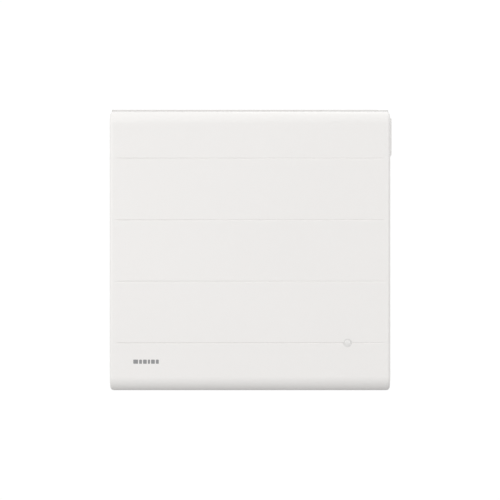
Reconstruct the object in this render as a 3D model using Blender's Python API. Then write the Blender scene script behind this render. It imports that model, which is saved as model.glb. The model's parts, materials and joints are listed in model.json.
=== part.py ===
"""Wall-hung electric panel heater with its wall bracket, as separate pieces.

Metres, +Z up. The wall is the plane y = 0 and the front faces -Y. The origin is the middle of
the bracket's upper rail, on its wall side.
"""
import math

import bmesh
import bpy
from mathutils import Matrix, Vector

FIT = 0.0003                # gap between pieces that touch
SLACK = 0.0008              # gap round pieces that move

# Overall
SHELL_WIDTH = 0.588         # front shell, left to right
SHELL_HEIGHT = 0.587        # front shell, bottom to top
WALL_TO_FRONT = 0.128
WALL_GAP = 0.026            # wall to the back of the rear panel
SHELL_TOP = 0.081           # top of the front shell above the upper rail

# Front shell
SHELL_DEPTH = 0.058
SHELL_SHEET = 0.0010
TOP_RADIUS = 0.026
BOTTOM_RADIUS = 0.030
SIDE_RADIUS = 0.007
GROOVES = 4
GROOVE_WIDTH = 0.0026
GROOVE_DEPTH = 0.0006
GROOVE_END = 0.015          # plain face left at each end of a groove
FIRST_GROOVE = 0.0998       # below the top of the shell
LAST_GROOVE = 0.1012        # above the bottom of the shell

# Presence sensor, on the last groove
LENS_FROM_SIDE = 0.090
LENS_RADIUS = 0.0087
LENS_DOME = 0.0012
FACE_STEP = 0.0002          # edge of the dome behind the shell's face
LENS_RIM = 0.003            # flange inside the shell
LENS_FLANGE = 0.0015
SENSOR_DEPTH = 0.014
SENSOR_WALL = 0.0015

# Casing behind the shell
GRILLE_RISE = 0.0065        # rim of the top grille above the shell
GRILLE_SHEET = 0.0016
GRILLE_SKIRT = 0.012
GRILLE_BAR = 0.0035
GRILLE_BAYS = 6
GRILLE_SLOTS = 4            # slots from front to back in each bay
REAR_SHEET = 0.0008
SIDE_WALL = 0.002
SIDE_FLANGE = 0.016
SIDE_OVERLAP = 0.010        # side panel reaching into the shell
CROSS_SHEET = 0.0015
CROSS_LEG = 0.014
LOUVRES = 7
LOUVRE_HEIGHT = 0.005
LOUVRE_PITCH = 0.017
LOUVRE_BOTTOM = 0.035       # lowest louvre above the bottom of the rear panel

# Controls, at the top right
CONTROL_COLUMN = 0.109      # partition to the side of the shell
CONTROL_WIDTH = 0.120       # keypad tray, left to right
CONTROL_RECESS = 0.010
CONTROL_SHEET = 0.0015
KEYS = ("minus", "plus", "mode", "menu")
KEY_SIZE = 0.009
KEY_PITCH = 0.0135
KEY_RISE = 0.0018
KEY_LIP = 0.0009            # lip under the tray that keeps a key in
DISPLAY_WIDTH = 0.036
DISPLAY_LENGTH = 0.018
LIGHT_RADIUS = 0.0016
FLAP_SHEET = 0.002
HINGE_RADIUS = 0.0025
PIN_RADIUS = 0.0011
PIN_LENGTH = 0.006
HOUSING_HEIGHT = 0.030
BOARD_SHEET = 0.0016
BOARD_DROP = 0.006
SWITCH_WIDTH = 0.013
SWITCH_LENGTH = 0.022
SWITCH_DEPTH = 0.020
SWITCH_RECESS = 0.0006      # switch panel below the grille's rim
SIDE_COVER_SHEET = 0.003
SIDE_COVER_TOP = 0.015      # below the top of the shell
SIDE_COVER_HEIGHT = 0.079
SIDE_COVER_DEPTH = 0.040

# Electronics, in the control space
BOARD_SIDE_GAP = 0.012      # partition to the power board
BOARD_END_GAP = 0.020       # power board to the side panel
BOARD_STAND = 0.008         # rear panel to the power board
BOARD_HEIGHT = 0.130
BOARD_BELOW_HOOK = 0.030
RELAY_DEPTH = 0.016
TERMINAL_DEPTH = 0.014
TERMINAL_PITCH = 0.012
AIR_SENSOR_RADIUS = 0.0024
AIR_SENSOR_REACH = 0.024    # rear panel to the sensor
CUTOUT_RADIUS = 0.008
CUTOUT_RISE = 0.045         # above the element

# Heating
FIN_PITCH = 0.011
FIN_SHEET = 0.002
FIN_DEPTH = 0.015
SPINE_DEPTH = 0.011
ELEMENT_HEIGHT = 0.080
ELEMENT_RISE = 0.090        # middle of the element above the bottom of the shell
ELEMENT_END_GAP = 0.034     # partition, or side, to the end of the element
ELEMENT_Y = -0.072
STUB_RADIUS = 0.004
STUB_LENGTH = 0.020
BUSH_RADIUS = 0.009
BUSH_LENGTH = 0.009
SUPPORT_SHEET = 0.0015
SUPPORT_HEIGHT = 0.060
SUPPORT_FOOT = 0.014
FILM_SHEET = 0.0008
FILM_MARGIN = 0.034         # edge of the shell's flat face to the film
FILM_TO_PARTITION = 0.006
FILM_TO_BEND = 0.020        # to the shell's rounded top and bottom
INSULATION_SHEET = 0.006

# Wall bracket
UPRIGHT_SPACING = 0.320
UPRIGHT_WIDTH = 0.028
UPRIGHT_DEPTH = 0.0225
BRACKET_SHEET = 0.0015
RAIL_HEIGHT = 0.030
RAIL_DEPTH = 0.006
LOWER_RAIL_RISE = 0.100     # lower rail above the bottom of the shell
HOOK_RISE = 0.030           # hooks above the upper rail
HOOK_ARM = 0.010
HOOK_TIP = 0.007
HOOK_REACH = 0.0088         # past the back of the rear panel
HOOK_SLOT_DROP = 0.018
BUMPER_RADIUS = 0.008
SCREW_SLOT_RADIUS = 0.003
CATCH_SPACING = 0.180
CATCH_RADIUS = 0.009
CATCH_BACK = 0.0110         # wall to the back of a catch's tongue
TONGUE_LENGTH = 0.026
TONGUE_WIDTH = 0.010
TONGUE_SHEET = 0.003
RIVET_RADIUS = 0.003
KEEPER_FROM_CATCH = 0.014
KEEPER_WIDTH = 0.018
KEEPER_DROP = 0.013
KEEPER_SHEET = 0.0015

# Fasteners and the cord's inlet
SCREW_RADIUS = 0.0018
SCREW_HEAD_RADIUS = 0.0036
SCREW_HEAD_HEIGHT = 0.0016
SCREW_LENGTH = 0.008
GLAND_RADIUS = 0.011
GLAND_BORE = 0.004
GLAND_RISE = 0.052          # above the bottom of the shell
GLAND_FROM_SIDE = 0.060
LEAD_RADIUS = 0.0012

# Places worked out from the sizes above
HALF_WIDTH = SHELL_WIDTH / 2
SHELL_BOTTOM = SHELL_TOP - SHELL_HEIGHT
FRONT_Y = -WALL_TO_FRONT
SHELL_BACK_Y = FRONT_Y + SHELL_DEPTH
INNER_FRONT_Y = FRONT_Y + SHELL_SHEET
REAR_BACK_Y = -WALL_GAP
REAR_FRONT_Y = REAR_BACK_Y - REAR_SHEET
CASING_BACK_Y = REAR_FRONT_Y - FIT
CASING_FRONT_Y = SHELL_BACK_Y + FIT
RIM_TOP = SHELL_TOP + GRILLE_RISE
GRILLE_HALF = HALF_WIDTH - FIT
SIDE_X = HALF_WIDTH - SHELL_SHEET - 2 * FIT         # outer face of a side panel
SIDE_FRONT_Y = SHELL_BACK_Y - SIDE_OVERLAP
INNER_X = SIDE_X - SIDE_WALL
PARTITION_X = HALF_WIDTH - CONTROL_COLUMN
LENS_X = HALF_WIDTH - LENS_FROM_SIDE
LENS_Z = SHELL_BOTTOM + LAST_GROOVE
FLOOR_Z = RIM_TOP - CONTROL_RECESS                  # top of the keypad tray's floor
SWITCH_PANEL_WIDTH = SWITCH_WIDTH + 0.009
CONTROL_RIGHT = GRILLE_HALF - SWITCH_PANEL_WIDTH - FIT
CONTROL_LEFT = CONTROL_RIGHT - CONTROL_WIDTH
GRILLE_RIGHT = CONTROL_LEFT - FIT
HINGE_Y = CASING_BACK_Y - CONTROL_SHEET - SLACK - HINGE_RADIUS
HINGE_Z = RIM_TOP - FIT - HINGE_RADIUS
HOOK_Z = HOOK_RISE
SWING_AXIS = Vector((0, (REAR_BACK_Y + REAR_FRONT_Y) / 2, HOOK_Z + FIT))
LOWER_RAIL_Z = SHELL_BOTTOM + LOWER_RAIL_RISE
UPRIGHT_X = UPRIGHT_SPACING / 2
ELEMENT_Z = SHELL_BOTTOM + ELEMENT_RISE
ELEMENT_LEFT = -INNER_X + ELEMENT_END_GAP + STUB_LENGTH
ELEMENT_RIGHT = PARTITION_X - ELEMENT_END_GAP - STUB_LENGTH
GLAND_X = HALF_WIDTH - GLAND_FROM_SIDE
GLAND_Z = SHELL_BOTTOM + GLAND_RISE
BOARD_X = PARTITION_X + BOARD_SIDE_GAP              # left edge of the power board
BOARD_TOP = HOOK_Z - HOOK_SLOT_DROP - BOARD_BELOW_HOOK
BOARD_FACE_Y = CASING_BACK_Y - BOARD_STAND - BOARD_SHEET

# Colour, roughness, metallic
FINISHES = {
    "white_enamel": ((0.86, 0.855, 0.84), 0.35, 0.0),
    "white_plastic": ((0.82, 0.82, 0.81), 0.45, 0.0),
    "grey_plastic": ((0.42, 0.43, 0.44), 0.5, 0.0),
    "black_plastic": ((0.03, 0.03, 0.033), 0.45, 0.0),
    "clear_lens": ((0.80, 0.81, 0.82), 0.12, 0.0),
    "dark_glass": ((0.02, 0.025, 0.03), 0.08, 0.0),
    "zinc_steel": ((0.62, 0.63, 0.65), 0.38, 1.0),
    "aluminium": ((0.77, 0.78, 0.79), 0.35, 1.0),
    "ceramic": ((0.85, 0.82, 0.75), 0.6, 0.0),
    "green_board": ((0.03, 0.19, 0.09), 0.5, 0.0),
    "amber_film": ((0.45, 0.24, 0.06), 0.35, 0.0),
    "fibre_board": ((0.66, 0.63, 0.56), 0.9, 0.0),
    "black_rubber": ((0.025, 0.025, 0.025), 0.8, 0.0),
    "red_lead": ((0.45, 0.03, 0.03), 0.5, 0.0),
    "blue_lead": ((0.04, 0.10, 0.42), 0.5, 0.0),
}


# Making objects

def finish(obj, name):
    colour, roughness, metallic = FINISHES[name]
    material = bpy.data.materials.new(f"{obj.name}_{name}")
    material.use_nodes = True
    shader = material.node_tree.nodes["Principled BSDF"]
    shader.inputs["Base Color"].default_value = (*colour, 1)
    shader.inputs["Roughness"].default_value = roughness
    shader.inputs["Metallic"].default_value = metallic
    obj.data.materials.append(material)


def add_object(name, bm, place, finish_name):
    mesh = bpy.data.meshes.new(name)
    bm.to_mesh(mesh)
    bm.free()
    obj = bpy.data.objects.new(name, mesh)
    obj.location = place
    bpy.context.scene.collection.objects.link(obj)
    if finish_name:
        finish(obj, finish_name)
    return obj


def shade_round(obj):
    obj.data.shade_smooth()
    obj.data.set_sharp_from_angle(angle=math.radians(35))


def add_block(bm, low, high):
    low, high = Vector(low), Vector(high)
    size = high - low
    place = Matrix.Translation((low + high) / 2) @ Matrix.Diagonal((*size, 1))
    return bmesh.ops.create_cube(bm, size=1, matrix=place)["verts"]


def add_rod(bm, start, axis, radius, length, segments=16):
    axis = Vector(axis)
    turn = axis.to_track_quat("Z", "Y").to_matrix().to_4x4()
    place = Matrix.Translation(Vector(start) + axis * length / 2) @ turn
    return bmesh.ops.create_cone(bm, cap_ends=True, segments=segments, radius1=radius,
                                 radius2=radius, depth=length, matrix=place)["verts"]


def block(name, low, high, finish_name, bevel=0.0):
    low, high = Vector(low), Vector(high)
    middle = (low + high) / 2
    bm = bmesh.new()
    add_block(bm, low - middle, high - middle)
    if bevel:
        bmesh.ops.bevel(bm, geom=bm.edges, offset=bevel, segments=2, profile=0.5, affect="EDGES")
    return add_object(name, bm, middle, finish_name)


def rod(name, start, axis, radius, length, finish_name, segments=16):
    bm = bmesh.new()
    add_rod(bm, (0, 0, 0), axis, radius, length, segments)
    obj = add_object(name, bm, start, finish_name)
    shade_round(obj)
    return obj


def turned(name, profile, place, axis, finish_name, segments=16):
    """A solid of revolution: profile holds (radius, height) pairs, the first and last on the axis
    or the whole outline closed by the spin's own first point."""
    bm = bmesh.new()
    points = [bm.verts.new((radius, 0, height)) for radius, height in profile]
    edges = [bm.edges.new(pair) for pair in zip(points, points[1:])]
    if profile[0][0] > 0:
        edges.append(bm.edges.new((points[-1], points[0])))
    bmesh.ops.spin(bm, geom=points + edges, cent=(0, 0, 0), axis=(0, 0, 1), angle=math.tau,
                   steps=segments, use_merge=True)
    bmesh.ops.remove_doubles(bm, verts=bm.verts, dist=1e-6)
    bmesh.ops.recalc_face_normals(bm, faces=bm.faces)
    turn = Vector(axis).to_track_quat("Z", "Y").to_matrix().to_4x4()
    bm.transform(turn)
    obj = add_object(name, bm, place, finish_name)
    shade_round(obj)
    return obj


def extruded(name, outline, step, finish_name, place=(0, 0, 0)):
    """A prism: outline holds the corners of one end face, step is the way to the other end."""
    bm = bmesh.new()
    face = bm.faces.new([bm.verts.new(point) for point in outline])
    moved = bmesh.ops.extrude_face_region(bm, geom=[face])["geom"]
    bmesh.ops.translate(bm, verts=[v for v in moved if isinstance(v, bmesh.types.BMVert)], vec=step)
    bmesh.ops.recalc_face_normals(bm, faces=bm.faces)
    return add_object(name, bm, place, finish_name)


def open_windows(bm, windows, flat):
    """Cuts rectangular windows (low, high corners) in a sheet that lies across the axis flat."""
    for low, high in windows:
        for axis in {0, 1, 2} - {flat}:
            for side in (low[axis], high[axis]):
                normal = Vector((0, 0, 0))
                normal[axis] = 1
                point = normal * side
                geom = bm.verts[:] + bm.edges[:] + bm.faces[:]
                bmesh.ops.bisect_plane(bm, geom=geom, dist=1e-7, plane_co=point, plane_no=normal)
    across = [axis for axis in range(3) if axis != flat]

    def is_open(face):
        middle = face.calc_center_median()
        return any(all(low[a] < middle[a] < high[a] for a in across) for low, high in windows)

    gone = [face for face in bm.faces if abs(face.normal[flat]) > 0.9 and is_open(face)]
    bmesh.ops.delete(bm, geom=gone, context="FACES")


def sheet(name, low, high, flat, windows, skirt, thickness, finish_name):
    """A flat sheet between two corners, with windows and, if skirt isn't 0, a wall round its edge
    along the axis flat. The corners give its outer face, and the thickness goes the way of the
    skirt."""
    bm = bmesh.new()
    a, b = [axis for axis in range(3) if axis != flat]
    corners = []
    for first, second in ((low[a], low[b]), (high[a], low[b]), (high[a], high[b]), (low[a], high[b])):
        point = Vector(low)
        point[a] = first
        point[b] = second
        corners.append(bm.verts.new(point))
    face = bm.faces.new(corners)
    way = Vector((0, 0, 0))
    way[flat] = 1 if skirt > 0 else -1
    if face.normal.length < 0.5:
        face.normal_update()
    if face.normal.dot(way) > 0:
        face.normal_flip()
    if abs(skirt) > thickness:
        rim = bmesh.ops.extrude_edge_only(bm, edges=bm.edges[:])["geom"]
        bmesh.ops.translate(bm, verts=[v for v in rim if isinstance(v, bmesh.types.BMVert)],
                            vec=way * abs(skirt))
        bmesh.ops.recalc_face_normals(bm, faces=bm.faces)
        bm.faces.ensure_lookup_table()
        flat_face = max(bm.faces, key=lambda item: abs(item.normal.dot(way)))
        if flat_face.normal.dot(way) > 0:
            bmesh.ops.reverse_faces(bm, faces=bm.faces)
    if windows:
        open_windows(bm, windows, flat)
    obj = add_object(name, bm, (0, 0, 0), finish_name)
    thicken(obj, thickness)
    return obj


def thicken(obj, thickness):
    solid = obj.modifiers.new("Sheet", "SOLIDIFY")
    solid.thickness = thickness
    solid.offset = -1
    solid.use_even_offset = True


def cutter(name, bm):
    bmesh.ops.recalc_face_normals(bm, faces=bm.faces)
    obj = add_object(name, bm, (0, 0, 0), None)
    obj.hide_render = True
    obj.display_type = "WIRE"
    return obj


def combine(obj, tool, operation):
    modifier = obj.modifiers.new(tool.name, "BOOLEAN")
    modifier.operation = operation
    modifier.object = tool
    modifier.solver = "EXACT"


def drill(obj, holes, segments=16):
    """holes holds (start, axis, radius, length) for each round hole."""
    bm = bmesh.new()
    for start, axis, radius, length in holes:
        add_rod(bm, start, axis, radius, length, segments)
    combine(obj, cutter(f"{obj.name}_holes", bm), "DIFFERENCE")


def hang(objects, pivot):
    """Parents objects to an empty on a joint's axis and leaves them where they are."""
    back = Matrix.Translation(pivot.matrix_world.inverted().translation)
    for obj in objects:
        obj.parent = pivot
        obj.matrix_parent_inverse = back


def add_pivot(name, place):
    pivot = bpy.data.objects.new(name, None)
    pivot.location = place
    pivot.matrix_world = Matrix.Translation(place)
    bpy.context.scene.collection.objects.link(pivot)
    return pivot


def arc(centre_y, centre_z, radius, start, end, steps):
    angles = [math.radians(start + (end - start) * i / steps) for i in range(steps + 1)]
    return [(centre_y + radius * math.cos(a), centre_z + radius * math.sin(a)) for a in angles]


# Front shell and what is fixed to it

def groove_heights():
    top = SHELL_TOP - FIRST_GROOVE
    pitch = (top - LENS_Z) / (GROOVES - 1)
    return [top - pitch * i for i in range(GROOVES)]


def front_panel():
    outline = [(SHELL_BACK_Y, SHELL_TOP)]
    outline += arc(FRONT_Y + TOP_RADIUS, SHELL_TOP - TOP_RADIUS, TOP_RADIUS, 90, 180, 7)
    outline += arc(FRONT_Y + BOTTOM_RADIUS, SHELL_BOTTOM + BOTTOM_RADIUS, BOTTOM_RADIUS, 180, 270, 7)
    outline += [(SHELL_BACK_Y, SHELL_BOTTOM)]
    bm = bmesh.new()
    end = bm.faces.new([bm.verts.new((-HALF_WIDTH, y, z)) for y, z in outline])
    moved = bmesh.ops.extrude_face_region(bm, geom=[end])["geom"]
    bmesh.ops.translate(bm, verts=[v for v in moved if isinstance(v, bmesh.types.BMVert)],
                        vec=(SHELL_WIDTH, 0, 0))
    bmesh.ops.recalc_face_normals(bm, faces=bm.faces)

    def at_back(vert):
        return abs(vert.co.y - SHELL_BACK_Y) < 1e-6

    rims = [edge for edge in bm.edges
            if abs(edge.verts[0].co.x - edge.verts[1].co.x) < 1e-6 and not all(map(at_back, edge.verts))]
    bmesh.ops.bevel(bm, geom=rims, offset=SIDE_RADIUS, segments=3, profile=0.5, affect="EDGES")
    bmesh.ops.delete(bm, geom=[f for f in bm.faces if all(map(at_back, f.verts))], context="FACES")
    shell = add_object("front_panel", bm, (0, 0, 0), "white_enamel")
    thicken(shell, SHELL_SHEET)
    grooves = bmesh.new()
    reach = HALF_WIDTH - GROOVE_END
    for height in groove_heights():
        low = (-reach, FRONT_Y - GROOVE_DEPTH, height - GROOVE_WIDTH / 2)
        high = (reach, FRONT_Y + GROOVE_DEPTH, height + GROOVE_WIDTH / 2)
        add_block(grooves, low, high)
    combine(shell, cutter("groove_tools", grooves), "DIFFERENCE")
    holes = [((LENS_X, FRONT_Y - SHELL_SHEET, LENS_Z), (0, 1, 0), LENS_RADIUS + FIT, SHELL_SHEET * 3)]
    holes += [((x, y, SHELL_BOTTOM - SHELL_SHEET), (0, 0, 1), SCREW_RADIUS + FIT, SHELL_SHEET * 3)
              for x, y in shell_screw_places()]
    drill(shell, holes, 24)
    return shell


def shell_screw_places():
    y = SHELL_BACK_Y - CROSS_LEG / 2 - FIT
    return [(side * HALF_WIDTH * 0.7, y) for side in (-1, 1)]


def crossmember(name, outer_z, way):
    """Steel angle inside the shell's top or bottom; way is the direction into the shell."""
    back = SHELL_BACK_Y
    front = back - CROSS_LEG
    z0 = outer_z + way * (SHELL_SHEET + FIT)
    z1 = z0 + way * CROSS_SHEET
    z2 = z0 + way * CROSS_LEG
    inner = front + CROSS_SHEET
    section = ((back, z0), (front, z0), (front, z2), (inner, z2), (inner, z1), (back, z1))
    half = HALF_WIDTH - SIDE_RADIUS - FIT
    return extruded(name, [(-half, y, z) for y, z in section], (2 * half, 0, 0), "zinc_steel")


def crossmembers():
    lower = crossmember("lower_crossmember", SHELL_BOTTOM, 1)
    start_z = SHELL_BOTTOM
    drill(lower, [((x, y, start_z), (0, 0, 1), SCREW_RADIUS + FIT, 0.006)
                  for x, y in shell_screw_places()])
    return [lower, crossmember("upper_crossmember", SHELL_TOP, -1)]


def screw(name, place, axis):
    """Pan-head screw: place is where its head meets the sheet, axis the way its shank goes."""
    head, shank = SCREW_HEAD_RADIUS, SCREW_RADIUS
    profile = [(0, -SCREW_HEAD_HEIGHT), (head * 0.7, -SCREW_HEAD_HEIGHT * 0.85),
               (head, -SCREW_HEAD_HEIGHT * 0.35), (head, 0), (shank, 0),
               (shank, SCREW_LENGTH), (0, SCREW_LENGTH + shank / 2)]
    return turned(name, profile, place, axis, "zinc_steel", 12)


def shell_screws():
    z = SHELL_BOTTOM - FIT
    return [screw(f"shell_screw_{i + 1}", (x, y, z), (0, 0, 1))
            for i, (x, y) in enumerate(shell_screw_places())]


def presence_sensor():
    rim_y = INNER_FRONT_Y + FIT
    back = rim_y + LENS_FLANGE
    face = FRONT_Y + FACE_STEP
    rim = LENS_RADIUS + LENS_RIM
    profile = [(0, back), (rim, back), (rim, rim_y), (LENS_RADIUS, rim_y), (LENS_RADIUS, face)]
    profile += [(LENS_RADIUS * math.cos(a), face - LENS_DOME * math.sin(a))
                for a in (math.radians(30), math.radians(60))] + [(0, face - LENS_DOME)]
    lens = turned("presence_lens", [(r, -y) for r, y in profile], (LENS_X, 0, LENS_Z), (0, -1, 0),
                  "clear_lens", 24)
    start = back + FIT
    wall = SENSOR_WALL
    cup = [(rim, 0), (rim, SENSOR_DEPTH), (0, SENSOR_DEPTH), (0, SENSOR_DEPTH - wall),
           (rim - wall, SENSOR_DEPTH - wall), (rim - wall, 0)]
    outline = cup[3:] + cup[:3]
    housing = turned("presence_housing", [(r, h) for r, h in outline], (LENS_X, start, LENS_Z),
                     (0, 1, 0), "grey_plastic", 20)
    board_y = start + SENSOR_DEPTH * 0.4
    board = rod("presence_board", (LENS_X, board_y, LENS_Z), (0, 1, 0), rim - wall - FIT,
                BOARD_SHEET, "green_board", 20)
    return [lens, housing, board]


def side_cover():
    top = SHELL_TOP - SIDE_COVER_TOP
    low = (HALF_WIDTH + FIT, FRONT_Y + SIDE_RADIUS + 0.003, top - SIDE_COVER_HEIGHT)
    high = (HALF_WIDTH + SIDE_COVER_SHEET, low[1] + SIDE_COVER_DEPTH, top)
    return block("side_cover", low, high, "white_plastic", 0.0008)


def heating_film():
    left = -HALF_WIDTH + FILM_MARGIN
    right = PARTITION_X - FIT - FILM_TO_PARTITION
    low_z = SHELL_BOTTOM + BOTTOM_RADIUS + FILM_TO_BEND
    high_z = SHELL_TOP - TOP_RADIUS - FILM_TO_BEND
    y0 = INNER_FRONT_Y + FIT
    y1 = y0 + FILM_SHEET
    film = block("heating_film", (left, y0, low_z), (right, y1, high_z), "amber_film")
    board = block("film_insulation", (left - 0.004, y1 + FIT, low_z - 0.004),
                  (right + 0.004, y1 + FIT + INSULATION_SHEET, high_z + 0.004), "fibre_board")
    return [film, board]


# Casing

def rear_panel():
    low = (-GRILLE_HALF, REAR_FRONT_Y, SHELL_BOTTOM + GRILLE_RISE)
    high = (GRILLE_HALF, REAR_FRONT_Y, RIM_TOP - 0.001)
    windows = []
    half = UPRIGHT_WIDTH / 2 + 0.003
    for side in (-1, 1):
        x = side * UPRIGHT_X
        windows.append(((x - half, 0, HOOK_Z - HOOK_SLOT_DROP), (x + half, 0, HOOK_Z + FIT)))
    right = CATCH_SPACING / 2 - CATCH_RADIUS - 0.002
    for row in range(LOUVRES):
        z = low[2] + LOUVRE_BOTTOM + row * LOUVRE_PITCH
        windows.append(((-right, 0, z), (-FIT - 0.004, 0, z + LOUVRE_HEIGHT)))
        windows.append(((FIT + 0.004, 0, z), (right, 0, z + LOUVRE_HEIGHT)))
    panel = sheet("rear_panel", low, high, 1, windows, 0.0001, REAR_SHEET, "zinc_steel")
    start = REAR_FRONT_Y - REAR_SHEET
    holes = [((x, start, z), (0, 1, 0), SCREW_RADIUS + FIT, REAR_SHEET * 4)
             for x, z in rear_screw_places()]
    holes.append(((GLAND_X, start, GLAND_Z), (0, 1, 0), GLAND_RADIUS * 0.7 + FIT, REAR_SHEET * 4))
    drill(panel, holes)
    return panel


def rear_screw_places():
    x = SIDE_X - SIDE_FLANGE / 2 - SIDE_WALL / 2
    heights = (SHELL_BOTTOM + 0.060, RIM_TOP - GRILLE_SKIRT - 0.060)
    return [(side * x, z) for side in (-1, 1) for z in heights]


def side_panel(name, side):
    top = RIM_TOP - GRILLE_SKIRT - 2 * FIT
    bottom = SHELL_BOTTOM + GRILLE_RISE + GRILLE_SKIRT + 2 * FIT
    outer, inner = SIDE_X, INNER_X
    edge = SIDE_X - SIDE_FLANGE
    section = ((outer, SIDE_FRONT_Y), (outer, CASING_BACK_Y), (edge, CASING_BACK_Y),
               (edge, CASING_BACK_Y - SIDE_WALL), (inner, CASING_BACK_Y - SIDE_WALL), (inner, SIDE_FRONT_Y))
    panel = extruded(name, [(side * x, y, bottom) for x, y in section], (0, 0, top - bottom),
                     "white_plastic")
    drill(panel, [((x, CASING_BACK_Y - 2 * SIDE_WALL, z), (0, 1, 0), SCREW_RADIUS + FIT, 3 * SIDE_WALL)
                  for x, z in rear_screw_places() if x * side > 0])
    return panel


def grille_windows(left, right, front, back):
    """Slots in GRILLE_BAYS bays of GRILLE_SLOTS, inside a border."""
    border = 0.005
    bay = (right - left - 2 * border + GRILLE_BAR) / GRILLE_BAYS
    pitch = (back - front - 2 * border + GRILLE_BAR) / GRILLE_SLOTS
    windows = []
    for column in range(GRILLE_BAYS):
        for row in range(GRILLE_SLOTS):
            x = left + border + column * bay
            y = front + border + row * pitch
            windows.append(((x, y, 0), (x + bay - GRILLE_BAR, y + pitch - GRILLE_BAR, 0)))
    return windows


def grilles():
    front, back = CASING_FRONT_Y, CASING_BACK_Y
    windows = grille_windows(-GRILLE_HALF, GRILLE_RIGHT, front, back)
    outlet = sheet("outlet_grille", (-GRILLE_HALF, front, RIM_TOP), (GRILLE_RIGHT, back, RIM_TOP), 2,
                   windows, -GRILLE_SKIRT, GRILLE_SHEET, "white_enamel")
    bottom = SHELL_BOTTOM + GRILLE_RISE
    windows = grille_windows(-GRILLE_HALF, GRILLE_HALF, front, back)
    inlet = sheet("inlet_grille", (-GRILLE_HALF, front, bottom), (GRILLE_HALF, back, bottom), 2,
                  windows, GRILLE_SKIRT, GRILLE_SHEET, "white_enamel")
    return [outlet, inlet]


def partition():
    low = (PARTITION_X, INNER_FRONT_Y + 0.012, SHELL_BOTTOM + GRILLE_RISE + GRILLE_SKIRT + 0.004)
    high = (PARTITION_X + 0.001, CASING_BACK_Y, FLOOR_Z - CONTROL_SHEET - HOUSING_HEIGHT - 0.004)
    return block("partition", low, high, "zinc_steel")


def air_deflector():
    top, low = SHELL_TOP - 0.030, SHELL_TOP - 0.110
    front = INNER_FRONT_Y + FIT + FILM_SHEET + FIT + INSULATION_SHEET + FIT
    points = [(front, low), (front, low + 0.030), (front + 0.035, top)]
    thick = 0.001
    section = points + [(y + thick, z) for y, z in reversed(points)]
    left = -INNER_X + 0.004
    width = CONTROL_LEFT - 0.006 - left
    return extruded("air_deflector", [(left, y, z) for y, z in section], (width, 0, 0), "aluminium")


def cord_gland():
    """Bush round the cord's hole: its flange is outside the rear panel, its neck in the hole."""
    neck, flange = GLAND_RADIUS * 0.7, GLAND_RADIUS
    profile = [(GLAND_BORE, -0.004), (GLAND_BORE, 0.010), (neck, 0.010), (neck, 0), (flange, 0),
               (flange, -0.002), (neck, -0.004)]
    place = (GLAND_X, REAR_BACK_Y + FIT, GLAND_Z)
    return turned("cord_gland", profile, place, (0, -1, 0), "black_plastic", 20)


def keeper(name, side):
    """Steel lip on the rear panel that a bracket's catch turns behind."""
    x0 = side * (CATCH_SPACING / 2 + KEEPER_FROM_CATCH)
    top = LOWER_RAIL_Z + TONGUE_WIDTH / 2 + 0.003
    back = REAR_BACK_Y + FIT
    lip = -CATCH_BACK + 0.002
    section = ((back, top), (back, top + 0.010), (back + KEEPER_SHEET, top + 0.010),
               (back + KEEPER_SHEET, top + KEEPER_SHEET), (lip + KEEPER_SHEET, top + KEEPER_SHEET),
               (lip + KEEPER_SHEET, top - KEEPER_DROP), (lip, top - KEEPER_DROP), (lip, top))
    step = (side * KEEPER_WIDTH, 0, 0)
    return extruded(name, [(x0, y, z) for y, z in section], step, "zinc_steel")


# Controls

def key_x(index):
    return CONTROL_RIGHT - 0.014 - (len(KEYS) - 1 - index) * KEY_PITCH


def control_middle_y():
    return (CASING_FRONT_Y + HINGE_Y - HINGE_RADIUS) / 2


def control_panel():
    """Tray that the keys stand in: an open box whose rim is level with the grille's."""
    y = control_middle_y()
    windows = []
    half = KEY_SIZE / 2 + FIT
    for index in range(len(KEYS)):
        x = key_x(index)
        windows.append(((x - half, y - half, 0), (x + half, y + half, 0)))
    x, wide, long = display_place()
    windows.append(((x - wide - FIT, y - long - FIT, 0), (x + wide + FIT, y + long + FIT, 0)))
    tray = sheet("control_panel", (CONTROL_LEFT, CASING_FRONT_Y, FLOOR_Z - CONTROL_SHEET),
                 (CONTROL_RIGHT, CASING_BACK_Y, FLOOR_Z - CONTROL_SHEET), 2, windows,
                 CONTROL_RECESS + CONTROL_SHEET, CONTROL_SHEET, "white_plastic")
    reach = CONTROL_SHEET * 3
    holes = [((x - reach / 2, HINGE_Y, HINGE_Z), (1, 0, 0), PIN_RADIUS + FIT, reach)
             for x in (CONTROL_LEFT + CONTROL_SHEET / 2, CONTROL_RIGHT - CONTROL_SHEET / 2)]
    holes.append(((light_x(), y, FLOOR_Z - 0.005), (0, 0, 1), LIGHT_RADIUS + FIT, 0.008))
    drill(tray, holes, 12)
    return tray


def display_place():
    """Middle, half width and half length of the display window."""
    return CONTROL_LEFT + 0.008 + DISPLAY_WIDTH / 2, DISPLAY_WIDTH / 2, DISPLAY_LENGTH / 2


def light_x():
    return (display_place()[0] + DISPLAY_WIDTH / 2 + key_x(0) - KEY_SIZE / 2) / 2


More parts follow.
